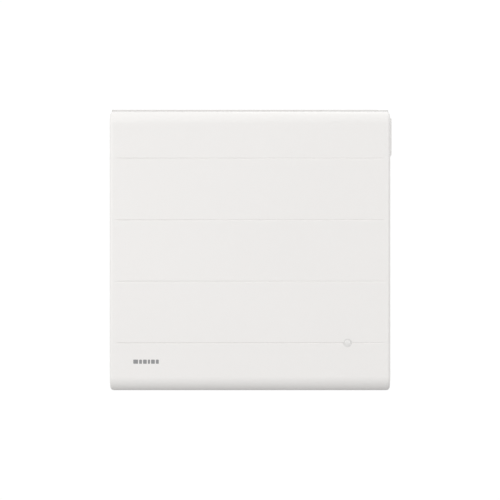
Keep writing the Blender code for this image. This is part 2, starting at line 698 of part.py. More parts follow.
def key(index):
    """Key cap with the lip under the tray that keeps it in."""
    half = KEY_SIZE / 2
    under = -CONTROL_SHEET - FIT
    bm = bmesh.new()
    wide = half + KEY_LIP
    add_block(bm, (-wide, -wide, under - 0.001), (wide, wide, under))
    top = max(bm.faces, key=lambda face: face.calc_center_median().z)
    bmesh.ops.inset_individual(bm, faces=[top], thickness=KEY_LIP)
    raised = bmesh.ops.extrude_discrete_faces(bm, faces=[top])["faces"]
    bmesh.ops.translate(bm, verts=raised[0].verts, vec=(0, 0, KEY_RISE - under - 0.0005))
    crown = bmesh.ops.extrude_discrete_faces(bm, faces=raised)["faces"]
    bmesh.ops.scale(bm, verts=crown[0].verts, vec=(0.88, 0.88, 1))
    bmesh.ops.translate(bm, verts=crown[0].verts, vec=(0, 0, 0.0005))
    place = (key_x(index), control_middle_y(), FLOOR_Z)
    return add_object(f"key_{KEYS[index]}", bm, place, "grey_plastic")


def display_window():
    x, wide, long = display_place()
    y = control_middle_y()
    return block("display_window", (x - wide, y - long, FLOOR_Z - CONTROL_SHEET),
                 (x + wide, y + long, FLOOR_Z), "dark_glass")


def status_light():
    return rod("status_light", (light_x(), control_middle_y(), FLOOR_Z - 0.004), (0, 0, 1),
               LIGHT_RADIUS, 0.0045, "clear_lens", 12)


def control_flap():
    """Lid over the keys: a plate with a hinge barrel along its back edge, bored for two pins."""
    half = (CONTROL_WIDTH - 2 * CONTROL_SHEET) / 2 - SLACK
    front = CASING_FRONT_Y + CONTROL_SHEET + SLACK - HINGE_Y
    bm = bmesh.new()
    add_block(bm, (-half, front, HINGE_RADIUS - FLAP_SHEET), (half, 0, HINGE_RADIUS))
    long_edges = [edge for edge in bm.edges if all(vert.co.y == front for vert in edge.verts)]
    bmesh.ops.bevel(bm, geom=long_edges, offset=0.0006, segments=1, profile=0.5, affect="EDGES")
    middle = (CONTROL_LEFT + CONTROL_RIGHT) / 2
    flap = add_object("control_flap", bm, (middle, HINGE_Y, HINGE_Z), "white_plastic")
    barrel = bmesh.new()
    add_rod(barrel, (middle - half, HINGE_Y, HINGE_Z), (1, 0, 0), HINGE_RADIUS, 2 * half, 16)
    combine(flap, cutter("flap_barrel", barrel), "UNION")
    bore = PIN_LENGTH + 0.001
    drill(flap, [((middle + side * (half + 0.0005), HINGE_Y, HINGE_Z), (-side, 0, 0),
                  PIN_RADIUS + FIT, bore) for side in (-1, 1)], 12)
    return flap


def flap_pins():
    pins = []
    for name, x, side in (("left", CONTROL_LEFT, 1), ("right", CONTROL_RIGHT, -1)):
        start = (x + side * FIT, HINGE_Y, HINGE_Z)
        pins.append(rod(f"flap_pin_{name}", start, (side, 0, 0), PIN_RADIUS, PIN_LENGTH, "zinc_steel", 12))
    return pins


def control_housing():
    """Open box under the tray, which holds the control board."""
    top = FLOOR_Z - CONTROL_SHEET - FIT
    low = (CONTROL_LEFT + 0.002, CASING_FRONT_Y + 0.002, top - HOUSING_HEIGHT)
    high = (CONTROL_RIGHT - 0.002, CASING_BACK_Y - 0.002, top - HOUSING_HEIGHT)
    housing = sheet("control_housing", low, high, 2, [], HOUSING_HEIGHT, CONTROL_SHEET, "grey_plastic")
    inset = CONTROL_SHEET + FIT
    z = top - BOARD_DROP
    board = block("control_board", (low[0] + inset, low[1] + inset, z - BOARD_SHEET),
                  (high[0] - inset, high[1] - inset, z), "green_board")
    return [housing, board]


def switch_box():
    """Panel at the grille's right end, with the mains switch let into it."""
    left = CONTROL_RIGHT + FIT
    x = (left + GRILLE_HALF) / 2
    y = (CASING_FRONT_Y + CASING_BACK_Y) / 2
    half_x, half_y = SWITCH_WIDTH / 2, SWITCH_LENGTH / 2
    top = RIM_TOP - SWITCH_RECESS
    window = ((x - half_x - FIT, y - half_y - FIT, 0), (x + half_x + FIT, y + half_y + FIT, 0))
    panel = sheet("switch_panel", (left, CASING_FRONT_Y, top), (GRILLE_HALF, CASING_BACK_Y, top), 2,
                  [window], SWITCH_RECESS - GRILLE_SKIRT, GRILLE_SHEET, "white_enamel")
    low = Vector((x - half_x, y - half_y, top - SWITCH_DEPTH))
    high = Vector((x + half_x, y + half_y, top))
    body = block("switch_body", low, high, "black_plastic")
    pocket = bmesh.new()
    wall = 0.0012
    add_block(pocket, (low.x + wall, low.y + wall, top - 0.008),
              (high.x - wall, high.y - wall, top + 0.002))
    combine(body, cutter("switch_pocket", pocket), "DIFFERENCE")
    return [panel, body, switch_rocker(Vector((x, y, top - 0.0035)), wall)]


def switch_rocker(pivot, wall):
    """Rocker, shown with its front half pressed: it turns about its middle along X."""
    half_x = SWITCH_WIDTH / 2 - wall - FIT
    half_y = SWITCH_LENGTH / 2 - wall - SLACK
    tilt = math.radians(7)
    rise = 0.0028
    outline = [(-half_y, rise), (0, rise * 0.55), (half_y, rise), (half_y * 0.55, -0.0012), (0, -0.0022),
               (-half_y * 0.55, -0.0012)]
    turn = Matrix.Rotation(tilt, 3, "X")
    points = [turn @ Vector((-half_x, y, z)) for y, z in outline]
    return extruded("switch_rocker", points, (2 * half_x, 0, 0), "black_plastic", pivot)


def power_electronics():
    x0, x1 = BOARD_X, INNER_X - BOARD_END_GAP
    z0, z1 = BOARD_TOP - BOARD_HEIGHT, BOARD_TOP
    board = block("power_board", (x0, BOARD_FACE_Y, z0), (x1, BOARD_FACE_Y + BOARD_SHEET, z1),
                  "green_board")
    front = BOARD_FACE_Y - FIT
    relay = block("power_relay", (x0 + 0.010, front - RELAY_DEPTH, z1 - 0.040),
                  (x0 + 0.030, front, z1 - 0.012), "black_plastic", 0.0008)
    terminals = block("terminal_block", (x0 + 0.008, front - TERMINAL_DEPTH, z0 + 0.006),
                      (x0 + 0.008 + TERMINAL_PITCH * 3, front, z0 + 0.022), "white_plastic")
    wells = bmesh.new()
    half = TERMINAL_PITCH * 0.32
    for index in range(3):
        x = x0 + 0.014 + index * TERMINAL_PITCH
        add_block(wells, (x - half, front - TERMINAL_DEPTH - 0.002, z0 + 0.010),
                  (x + half, front - 0.006, z0 + 0.018))
    combine(terminals, cutter("terminal_wells", wells), "DIFFERENCE")
    return [board, relay, terminals]


def air_sensor():
    """Room temperature sensor in its holder, low in the control space."""
    x = PARTITION_X + 0.030
    z = SHELL_BOTTOM + GRILLE_RISE + GRILLE_SKIRT + 0.016
    y = CASING_BACK_Y
    reach = y - AIR_SENSOR_REACH
    radius = AIR_SENSOR_RADIUS
    holder = block("air_sensor_holder", (x - 0.006, reach - 0.006, z - 0.003), (x + 0.006, y, z + 0.003),
                   "white_plastic")
    drill(holder, [((x, reach, z - 0.006), (0, 0, 1), radius + FIT, 0.012)])
    bead = [(0, -0.010), (radius * 0.67, -0.0095), (radius, -0.008), (radius, 0.008), (0, 0.008)]
    return [holder, turned("air_sensor", bead, (x, reach, z), (0, 0, 1), "black_plastic", 12)]


# Heating

def heating_element():
    """Finned aluminium bar: fins front and back of a spine, with a round stub at each end."""
    low = Vector((ELEMENT_LEFT, ELEMENT_Y - SPINE_DEPTH / 2, ELEMENT_Z - ELEMENT_HEIGHT / 2))
    high = Vector((ELEMENT_RIGHT, ELEMENT_Y + SPINE_DEPTH / 2, ELEMENT_Z + ELEMENT_HEIGHT / 2))
    bm = bmesh.new()
    add_block(bm, low, high)
    count = int((high.x - low.x - FIN_SHEET) / FIN_PITCH)
    first = (low.x + high.x - count * FIN_PITCH - FIN_SHEET) / 2
    fins = [first + index * FIN_PITCH for index in range(count + 1)]
    for x in fins:
        for side in (x, x + FIN_SHEET):
            geom = bm.verts[:] + bm.edges[:] + bm.faces[:]
            bmesh.ops.bisect_plane(bm, geom=geom, dist=1e-7, plane_co=(side, 0, 0), plane_no=(1, 0, 0))

    def is_fin(face):
        x = face.calc_center_median().x
        return abs(face.normal.y) > 0.9 and any(start < x < start + FIN_SHEET for start in fins)

    grown = bmesh.ops.extrude_discrete_faces(bm, faces=[f for f in bm.faces if is_fin(f)])["faces"]
    for face in grown:
        bmesh.ops.translate(bm, verts=face.verts, vec=face.normal * FIN_DEPTH)
    element = add_object("heating_element", bm, (0, 0, 0), "aluminium")
    stubs = bmesh.new()
    start = (low.x - STUB_LENGTH, ELEMENT_Y, ELEMENT_Z)
    add_rod(stubs, start, (1, 0, 0), STUB_RADIUS, high.x - low.x + 2 * STUB_LENGTH)
    combine(element, cutter("element_stubs", stubs), "UNION")
    return element


def element_support(name, end_x, way):
    """Steel angle from the rear panel to the element's stub; way points away from the element."""
    x0 = end_x + way * (STUB_LENGTH - 0.008)
    x1 = x0 + way * SUPPORT_SHEET
    x2 = x0 + way * SUPPORT_FOOT
    front, back = ELEMENT_Y - 0.016, CASING_BACK_Y
    inner = back - SUPPORT_SHEET
    section = ((x0, front), (x1, front), (x1, inner), (x2, inner), (x2, back), (x0, back))
    z = ELEMENT_Z - SUPPORT_HEIGHT / 2
    support = extruded(name, [(x, y, z) for x, y in section], (0, 0, SUPPORT_HEIGHT), "zinc_steel")
    hole = BUSH_RADIUS * 0.75 + FIT
    drill(support, [((x0 - way * 0.004, ELEMENT_Y, ELEMENT_Z), (way, 0, 0), hole, 0.009)], 20)
    return support


def element_bush(name, end_x, way):
    """Ceramic bush between the stub and its support, with a flange on the element's side."""
    start = end_x + way * (STUB_LENGTH - 0.008 - 0.003)
    bore = STUB_RADIUS + FIT
    neck = BUSH_RADIUS * 0.75
    flange = 0.003 - FIT
    profile = [(bore, 0), (bore, BUSH_LENGTH), (neck, BUSH_LENGTH), (neck, flange), (BUSH_RADIUS, flange),
               (BUSH_RADIUS, 0)]
    return turned(name, profile, (start, ELEMENT_Y, ELEMENT_Z), (way, 0, 0), "ceramic", 16)


def heating():
    parts = [heating_element()]
    for side, end_x, way in (("left", ELEMENT_LEFT, -1), ("right", ELEMENT_RIGHT, 1)):
        parts.append(element_support(f"element_support_{side}", end_x, way))
        parts.append(element_bush(f"element_bush_{side}", end_x, way))
    return parts


def thermal_cutout():
    x = (ELEMENT_LEFT + ELEMENT_RIGHT) / 2
    z = ELEMENT_Z + ELEMENT_HEIGHT / 2 + CUTOUT_RISE
    y = CASING_BACK_Y
    shelf = z - 0.0088
    clip_points = ((y, z - 0.010), (y, z + 0.012), (y - 0.0012, z + 0.012), (y - 0.0012, shelf),
                   (y - 0.030, shelf), (y - 0.030, z - 0.010))
    clip = extruded("cutout_clip", [(x - 0.011, py, pz) for py, pz in clip_points], (0.022, 0, 0),
                    "zinc_steel")
    radius = CUTOUT_RADIUS
    profile = [(0, 0), (radius, 0), (radius, 0.0045), (radius * 0.75, 0.0075), (0, 0.0075)]
    body = turned("thermal_cutout", profile, (x, y - 0.017, shelf + FIT), (0, 0, 1), "black_plastic")
    return [clip, body]


def smooth_route(points, count):
    """Points along a Catmull-Rom curve through points."""
    ends = [2 * points[0] - points[1]] + points + [2 * points[-1] - points[-2]]
    route = []
    spans = len(points) - 1
    for index in range(count + 1):
        at = index / count * spans
        span = min(int(at), spans - 1)
        t = at - span
        a, b, c, d = ends[span:span + 4]
        route.append(0.5 * (2 * b + (c - a) * t + (2 * a - 5 * b + 4 * c - d) * t * t
                            + (3 * b - a - 3 * c + d) * t ** 3))
    return route


def lead(name, points, finish_name, count=24):
    curve = bpy.data.curves.new(name, "CURVE")
    curve.dimensions = "3D"
    curve.bevel_depth = LEAD_RADIUS
    curve.bevel_resolution = 1
    curve.use_fill_caps = True
    spline = curve.splines.new("POLY")
    route = smooth_route([Vector(point) for point in points], count)
    spline.points.add(len(route) - 1)
    for point, place in zip(spline.points, route):
        point.co = (*place, 1)
    obj = bpy.data.objects.new(name, curve)
    bpy.context.scene.collection.objects.link(obj)
    finish(obj, finish_name)
    return obj


def leads():
    """Each lead leaves and meets its boards square on."""
    face = BOARD_FACE_Y - 3 * FIT
    along, down = Vector((0, 0.006, 0)), Vector((0, 0, 0.006))
    sensor_back = INNER_FRONT_Y + LENS_FLANGE + SENSOR_DEPTH + 5 * FIT
    end = Vector((BOARD_X + 0.054, face, BOARD_TOP - 0.090))
    start = Vector((LENS_X, sensor_back, LENS_Z))
    presence = [start, start + along, start + 2 * along, start + Vector((0.008, 0.028, 0.040)),
                end - Vector((0, 0.022, 0.010)), end - 2 * along, end - along, end]
    start = Vector((BOARD_X + 0.040, CASING_BACK_Y - 0.022,
                    FLOOR_Z - CONTROL_SHEET - 4 * FIT - HOUSING_HEIGHT))
    end = Vector((BOARD_X + 0.050, face, BOARD_TOP - 0.024))
    control = [start, start - down, start - 2 * down, (start + end) / 2 - 3 * along,
               end - 2 * along, end - along, end]
    return [lead("presence_lead", presence, "blue_lead", 30), lead("control_lead", control, "red_lead", 20)]


# Wall bracket

def upright(name, side):
    """Steel channel against the wall; each of its two sides ends in a hook at the top."""
    x = side * UPRIGHT_X
    half = UPRIGHT_WIDTH / 2
    low = LOWER_RAIL_Z - RAIL_HEIGHT / 2 - 0.012
    top = HOOK_Z + 0.004
    tip = REAR_BACK_Y - HOOK_REACH
    hook = ((0, low), (0, top), (-UPRIGHT_DEPTH, top), (-UPRIGHT_DEPTH, HOOK_Z), (tip + 0.004, HOOK_Z),
            (tip + 0.004, HOOK_Z + HOOK_TIP), (tip, HOOK_Z + HOOK_TIP), (tip, HOOK_Z - HOOK_ARM),
            (-UPRIGHT_DEPTH, HOOK_Z - HOOK_ARM), (-UPRIGHT_DEPTH, low))
    bm = bmesh.new()
    for start in (-half, half - BRACKET_SHEET):
        face = bm.faces.new([bm.verts.new((start, y, z)) for y, z in hook])
        moved = bmesh.ops.extrude_face_region(bm, geom=[face])["geom"]
        bmesh.ops.translate(bm, verts=[v for v in moved if isinstance(v, bmesh.types.BMVert)],
                            vec=(BRACKET_SHEET, 0, 0))
    bmesh.ops.recalc_face_normals(bm, faces=bm.faces)
    sides = cutter(f"{name}_sides", bm)
    sides.location.x = x
    web = block(name, (x - half + BRACKET_SHEET / 2, -BRACKET_SHEET, low),
                (x + half - BRACKET_SHEET / 2, 0, top), "zinc_steel")
    combine(web, sides, "UNION")
    holes = [((x, -BRACKET_SHEET * 2, z), (0, 1, 0), SCREW_SLOT_RADIUS, BRACKET_SHEET * 4)
             for z in (low + 0.012, top - 0.020)]
    drill(web, holes)
    return web


def rail(name, height):
    """Steel channel between the uprights, open to the room."""
    half = UPRIGHT_X - UPRIGHT_WIDTH / 2 - FIT
    low, high = height - RAIL_HEIGHT / 2, height + RAIL_HEIGHT / 2
    sheet_in = BRACKET_SHEET
    section = ((0, low), (0, high), (-RAIL_DEPTH, high), (-RAIL_DEPTH, high - sheet_in),
               (-sheet_in, high - sheet_in), (-sheet_in, low + sheet_in), (-RAIL_DEPTH, low + sheet_in),
               (-RAIL_DEPTH, low))
    return extruded(name, [(-half, y, z) for y, z in section], (2 * half, 0, 0), "zinc_steel")


def bumper(name, side):
    start = (side * UPRIGHT_X, -BRACKET_SHEET - FIT, LOWER_RAIL_Z)
    length = WALL_GAP - BRACKET_SHEET - 2 * FIT
    return rod(name, start, (0, -1, 0), BUMPER_RADIUS, length, "black_rubber", 20)


def catch(name, side):
    """Quarter-turn catch: a round boss with a tongue that hangs down while it is released."""
    x = side * CATCH_SPACING / 2
    back = -BRACKET_SHEET - FIT
    front = -CATCH_BACK - TONGUE_SHEET
    hole = RIVET_RADIUS + FIT
    profile = [(hole, 0), (hole, back - front), (CATCH_RADIUS, back - front), (CATCH_RADIUS, 0)]
    boss = turned(name, profile, (x, back, LOWER_RAIL_Z), (0, -1, 0), "zinc_steel", 20)
    bm = bmesh.new()
    half = TONGUE_WIDTH / 2
    add_block(bm, (-half, front, -TONGUE_LENGTH), (half, front + TONGUE_SHEET, -CATCH_RADIUS * 0.7))
    tongue = cutter(f"{name}_tongue", bm)
    tongue.location = (x, 0, LOWER_RAIL_Z)
    combine(boss, tongue, "UNION")
    return boss


def rivet(name, side):
    """Rivet that a catch turns on: its shank goes through the catch, its head is in front."""
    length = CATCH_BACK + TONGUE_SHEET - BRACKET_SHEET
    head = RIVET_RADIUS * 2
    start = length + FIT
    profile = [(0, FIT), (RIVET_RADIUS, FIT), (RIVET_RADIUS, start), (head, start),
               (head * 0.8, start + 0.0012), (0, start + 0.0015)]
    place = (side * CATCH_SPACING / 2, -BRACKET_SHEET, LOWER_RAIL_Z)
    return turned(name, profile, place, (0, -1, 0), "zinc_steel", 16)


def build():
    for obj in list(bpy.data.objects):
        bpy.data.objects.remove(obj, do_unlink=True)
    upright("bracket_upright_left", -1)
    upright("bracket_upright_right", 1)
    rail("bracket_upper_rail", 0)
    rail("bracket_lower_rail", LOWER_RAIL_Z)
    for word, side in (("left", -1), ("right", 1)):
        bumper(f"bumper_{word}", side)
        catch(f"catch_{word}", side)
        rivet(f"catch_rivet_{word}", side)
    swing = add_pivot("swing_axis", SWING_AXIS)
    heater = [front_panel(), rear_panel()]
    heater += [side_panel("side_panel_left", -1), side_panel("side_panel_right", 1)]
    heater += grilles() + crossmembers() + shell_screws()
    heater += [keeper("keeper_left", -1), keeper("keeper_right", 1), cord_gland(), side_cover()]
    heater += presence_sensor() + heating_film() + heating() + thermal_cutout()
    heater += [partition(), air_deflector()] + power_electronics() + air_sensor() + leads()
    heater += [control_panel(), display_window(), status_light(), control_flap()] + flap_pins()
    heater += [key(index) for index in range(len(KEYS))]
    heater += control_housing() + switch_box()
    hang(heater, swing)


build()
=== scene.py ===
import json
import math

import bmesh
import bpy
from mathutils import Matrix, Vector


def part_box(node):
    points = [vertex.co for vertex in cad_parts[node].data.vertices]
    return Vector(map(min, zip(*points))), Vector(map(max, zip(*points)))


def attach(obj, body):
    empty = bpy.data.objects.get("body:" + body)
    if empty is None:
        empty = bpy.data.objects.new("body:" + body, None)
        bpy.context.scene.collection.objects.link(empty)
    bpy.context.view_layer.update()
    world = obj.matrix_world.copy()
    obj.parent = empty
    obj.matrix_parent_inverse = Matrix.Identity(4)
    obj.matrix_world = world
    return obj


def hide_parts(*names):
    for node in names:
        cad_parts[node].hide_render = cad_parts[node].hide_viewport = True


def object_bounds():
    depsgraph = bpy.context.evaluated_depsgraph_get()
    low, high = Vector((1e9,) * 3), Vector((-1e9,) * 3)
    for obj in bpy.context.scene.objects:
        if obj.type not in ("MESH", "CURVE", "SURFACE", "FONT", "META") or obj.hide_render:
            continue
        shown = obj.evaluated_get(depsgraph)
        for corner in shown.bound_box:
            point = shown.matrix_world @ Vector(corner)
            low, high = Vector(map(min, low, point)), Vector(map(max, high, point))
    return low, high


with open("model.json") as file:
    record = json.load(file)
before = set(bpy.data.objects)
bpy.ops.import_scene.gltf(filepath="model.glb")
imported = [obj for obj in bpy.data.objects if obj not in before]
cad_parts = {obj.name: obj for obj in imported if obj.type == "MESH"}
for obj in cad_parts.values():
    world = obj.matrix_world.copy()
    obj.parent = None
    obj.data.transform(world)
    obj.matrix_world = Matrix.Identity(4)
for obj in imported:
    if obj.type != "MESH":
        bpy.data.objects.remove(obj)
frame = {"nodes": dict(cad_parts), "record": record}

cadLow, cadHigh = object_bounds()
nodes = frame["nodes"]
groups = frame["record"]["behaviour"]["bodies"]
bodyOf = {node: body for body, members in groups.items() for node in members}
slotOf = {part["node"]: part["material_slot"] for part in frame["record"]["subparts"]}
print("frame loaded:", len(nodes), "nodes")


# shader maths: an expression on sockets adds its own Math nodes
class Socket:
    def __init__(self, graph, output):
        self.graph = graph
        self.output = output

    def maths(self, operation, first, second):
        return self.graph.add("ShaderNodeMath", {"operation": operation}, {0: first, 1: second})

    def __add__(self, other):
        return self.maths("ADD", self, other)

    def __radd__(self, other):
        return self.maths("ADD", other, self)

    def __sub__(self, other):
        return self.maths("SUBTRACT", self, other)

    def __rsub__(self, other):
        return self.maths("SUBTRACT", other, self)

    def __mul__(self, other):
        return self.maths("MULTIPLY", self, other)

    def __rmul__(self, other):
        return self.maths("MULTIPLY", other, self)

    def __gt__(self, other):
        return self.maths("GREATER_THAN", self, other)


mixColours = {"first": 6, "second": 7, "result": 2}      # the Mix node's colour sockets


class Graph:
    def __init__(self, owner):
        owner.use_nodes = True
        self.owner = owner
        self.tree = owner.node_tree

    # any other node: its kind, its settings, then a value or a link for each socket
    def add(self, kind, settings, sockets, output=0):
        node = self.tree.nodes.new(kind)
        for name, value in settings.items():
            setattr(node, name, value)
        for name, value in sockets.items():
            if isinstance(value, Socket):
                self.tree.links.new(value.output, node.inputs[name])
            else:
                node.inputs[name].default_value = value
        return Socket(self, node.outputs[output])

    def place(self, scale=(1, 1, 1)):
        where = self.add("ShaderNodeTexCoord", {}, {}, "Object")
        sockets = {"Vector": where, "Scale": scale}
        return self.add("ShaderNodeMapping", {"vector_type": "POINT"}, sockets)

    def noise(self, where, scale, detail, roughness=0.5):
        sockets = {"Vector": where, "Scale": scale, "Detail": detail, "Roughness": roughness}
        return self.add("ShaderNodeTexNoise", {"noise_dimensions": "3D"}, sockets)

    def cells(self, where, scale, output="Distance", feature="F1"):
        settings = {"voronoi_dimensions": "3D", "feature": feature}
        sockets = {"Vector": where, "Scale": scale}
        return self.add("ShaderNodeTexVoronoi", settings, sockets, output)

    def blend(self, amount, first, second):
        sockets = {"Factor": amount, mixColours["first"]: first, mixColours["second"]: second}
        settings = {"data_type": "RGBA", "clamp_factor": True}
        return self.add("ShaderNodeMix", settings, sockets, mixColours["result"])

    # one colour, varied between a darker and a lighter share of itself
    def tint(self, amount, colour, dark, light):
        ends = [(*[min(1.0, part * share) for part in colour], 1) for share in (dark, light)]
        return self.blend(amount, *ends)

    def bump(self, height, depth):
        sockets = {"Height": height, "Distance": depth, "Strength": 1.0}
        return self.add("ShaderNodeBump", {}, sockets)

    def smoothStep(self, value, start, end):
        settings = {"data_type": "FLOAT", "interpolation_type": "SMOOTHSTEP"}
        sockets = {"Value": value, "From Min": start, "From Max": end}
        return self.add("ShaderNodeMapRange", settings, sockets)

    def finish(self, fixed, varying):
        shader = self.tree.nodes["Principled BSDF"]
        for name, value in fixed.items():
            shader.inputs[name].default_value = value
        for name, value in varying.items():
            self.tree.links.new(value.output, shader.inputs[name])
        return self.owner


def startMaterial(name):
    return Graph(bpy.data.materials.new(name))


def weighted(first, second, share):
    return first * share + second * (1 - share)


# In the finishes, pattern sizes are in repeats per metre and depths in metres, and the roughness
# runs from "roughness" up by "spread".

# white stoved enamel: a very fine orange peel under a thin gloss
enamel = {"colour": (0.880, 0.864, 0.848), "drift": 0.008, "cloud": 5.0, "peel": 620.0,
          "speck": 2400.0, "speckShare": 0.3, "depth": 0.00002, "roughness": 0.38, "spread": 0.08,
          "specular": 0.3, "coat": 0.08, "coatRoughness": 0.25}
tones = {"stovedEnamel": 1.0, "paintedShadeEnamel": 0.78}        # the grilles are a shade darker: a darker copy of the enamel, which is painted shade


def enamelMaterial(name):
    tone, drift = tones[name], enamel["drift"]
    graph = startMaterial(name)
    where = graph.place()
    cloud = graph.noise(where, enamel["cloud"], detail=1.0)
    peel = graph.noise(where, enamel["peel"], detail=1.5)
    specks = graph.noise(where, enamel["speck"], detail=1.0)
    colour = graph.tint(cloud, enamel["colour"], tone - drift, tone + drift)
    height = peel + enamel["speckShare"] * specks
    return graph.finish({"Specular IOR Level": enamel["specular"], "Coat Weight": enamel["coat"],
                         "Coat Roughness": enamel["coatRoughness"]},
                        {"Base Color": colour,
                         "Roughness": enamel["roughness"] + enamel["spread"] * cloud,
                         "Normal": graph.bump(height, enamel["depth"])})


# moulded plastic with a spark-eroded grain
moulding = {"cloud": 9.0, "cloudShare": 0.7, "fineness": 1.7, "pitShare": 0.6, "spread": 0.1,
            "specular": 0.45}
# each plastic's colour, grain, depth of the grain, middle roughness and drift of the colour
plastics = {
    "whitePlastic": ((0.86, 0.85, 0.835), 1500.0, 0.00003, 0.46, 0.012),
    "trimPlastic": ((0.70, 0.692, 0.68), 1500.0, 0.00003, 0.46, 0.012),
    # the side cover's plastic is lighter than the white plastic: painted light, lifting the shade
    # it gets beside the shell's rounding
    "paintedLightCoverPlastic": ((0.93, 0.92, 0.905), 1500.0, 0.00002, 0.4, 0.008),
    "greyPlastic": ((0.36, 0.37, 0.38), 1300.0, 0.00004, 0.5, 0.03),
    "blackPlastic": ((0.024, 0.024, 0.026), 1300.0, 0.00005, 0.42, 0.2),
    "steatite": ((0.80, 0.77, 0.69), 900.0, 0.00006, 0.6, 0.03),
    "blackRubber": ((0.018, 0.018, 0.018), 700.0, 0.00008, 0.78, 0.25),
    "redSleeve": ((0.42, 0.03, 0.025), 1200.0, 0.00003, 0.5, 0.12),
    "blueSleeve": ((0.04, 0.10, 0.40), 1200.0, 0.00003, 0.5, 0.12),
    "symbolInk": ((0.80, 0.80, 0.79), 1500.0, 0.00001, 0.5, 0.03),
    "unlitSegment": ((0.060, 0.066, 0.072), 1500.0, 0.00001, 0.3, 0.03),
}


def plasticMaterial(name):
    colour, grain, depth, roughness, drift = plastics[name]
    spread = moulding["spread"]
    graph = startMaterial(name)
    where = graph.place()
    cloud = graph.noise(where, moulding["cloud"], detail=2.0)
    pits = graph.cells(where, grain)
    fine = graph.noise(where, grain * moulding["fineness"], detail=3.0)
    mask = weighted(cloud, fine, moulding["cloudShare"])
    height = weighted(pits, fine, moulding["pitShare"])
    return graph.finish({"Specular IOR Level": moulding["specular"]},
                        {"Base Color": graph.tint(mask, colour, 1 - drift, 1 + drift),
                         "Roughness": roughness - spread / 2 + spread * fine,
                         "Normal": graph.bump(height, depth)})


# hot-dip galvanised sheet: crystals of a few millimetres, each a little lighter or darker
galvanised = {"colour": (0.60, 0.61, 0.63), "contrast": 0.16, "spangle": 95.0,
              "spangleShare": 0.8, "warp": 60.0, "edgeShare": 0.5, "depth": 0.00004,
              "roughness": 0.34, "spread": 0.16}


def galvanisedMaterial():
    contrast = galvanised["contrast"]
    graph = startMaterial("galvanisedSheet")
    where = graph.place()
    warp = graph.noise(where, galvanised["warp"], detail=2.0)
    crystals = graph.cells(where, galvanised["spangle"], "Color")
    level = graph.add("ShaderNodeRGBToBW", {}, {"Color": crystals})
    edges = graph.cells(where, galvanised["spangle"], "Distance", "DISTANCE_TO_EDGE")
    mask = weighted(level, warp, galvanised["spangleShare"])
    colour = graph.tint(mask, galvanised["colour"], 1 - contrast, 1 + contrast)
    height = weighted(edges, warp, galvanised["edgeShare"])
    return graph.finish({"Metallic": 1.0},
                        {"Base Color": colour,
                         "Roughness": galvanised["roughness"] + galvanised["spread"] * mask,
                         "Normal": graph.bump(height, galvanised["depth"])})


# bright metal on cut, bent and drawn parts, streaked lightly along one way
brightMetal = {"streak": 40.0, "streakShare": 0.6, "cloud": 45.0, "dark": 0.86, "light": 1.1,
               "depth": 0.00003, "roughness": 0.29, "spread": 0.16}
# each metal's colour, and how much finer its streaks are along x, y and z
brightMetals = {
    "zincPlate": ((0.66, 0.67, 0.69), (1, 1, 12)),
    "extrudedAluminium": ((0.78, 0.79, 0.80), (8, 8, 1)),
}


def brightMetalMaterial(name):
    colour, squeeze = brightMetals[name]
    graph = startMaterial(name)
    streaks = graph.noise(graph.place(squeeze), brightMetal["streak"], detail=4.0, roughness=0.6)
    cloud = graph.noise(graph.place(), brightMetal["cloud"], detail=3.0)
    mask = weighted(streaks, cloud, brightMetal["streakShare"])
    varied = graph.tint(mask, colour, brightMetal["dark"], brightMetal["light"])
    return graph.finish({"Metallic": 1.0},
                        {"Base Color": varied,
                         "Roughness": brightMetal["roughness"] + brightMetal["spread"] * mask,
                         "Normal": graph.bump(streaks, brightMetal["depth"])})


# milky lens: light enters it a little way, under a polished skin
milky = {"dark": (0.83, 0.82, 0.805, 1), "light": (0.87, 0.86, 0.845, 1), "haze": 120.0,
         "ripple": 700.0, "depth": 0.00001, "roughness": 0.12, "spread": 0.1, "coat": 0.6,
         "coatRoughness": 0.08, "index": 1.58, "scatter": 0.1, "reach": (0.002, 0.002, 0.002)}


def lensMaterial():
    graph = startMaterial("milkyLens")
    where = graph.place()
    haze = graph.noise(where, milky["haze"], detail=2.0)
    ripple = graph.noise(where, milky["ripple"], detail=1.0)
    return graph.finish({"Coat Weight": milky["coat"], "Coat Roughness": milky["coatRoughness"],
                         "IOR": milky["index"], "Subsurface Weight": milky["scatter"],
                         "Subsurface Radius": milky["reach"]},
                        {"Base Color": graph.blend(haze, milky["dark"], milky["light"]),
                         "Roughness": milky["roughness"] + milky["spread"] * haze,
                         "Normal": graph.bump(ripple, milky["depth"])})


# dark window over the display, with a little dust
smoked = {"dark": (0.010, 0.012, 0.015, 1), "light": (0.022, 0.025, 0.030, 1), "dust": 900.0,
          "roughness": 0.06, "spread": 0.1, "coat": 1.0, "coatRoughness": 0.03}


def windowMaterial():
    graph = startMaterial("smokedWindow")
    dust = graph.noise(graph.place(), smoked["dust"], detail=3.0)
    return graph.finish({"Coat Weight": smoked["coat"], "Coat Roughness": smoked["coatRoughness"]},
                        {"Base Color": graph.blend(dust, smoked["dark"], smoked["light"]),
                         "Roughness": smoked["roughness"] + smoked["spread"] * dust})


# solder mask over copper tracks, which show as slightly raised, lighter lines
board = {"dark": (0.012, 0.085, 0.035, 1), "light": (0.020, 0.125, 0.050, 1), "weave": 1400.0,
         "weaveShare": 0.1, "track": (0.045, 0.24, 0.09, 1), "trackShare": 0.7, "depth": 0.00004,
         "roughness": 0.42, "spread": 0.12, "coat": 0.4, "coatRoughness": 0.2}
tracking = {"Scale": 160.0, "Mortar Size": 0.06, "Mortar Smooth": 0.2, "Brick Width": 0.9,
            "Row Height": 0.32}


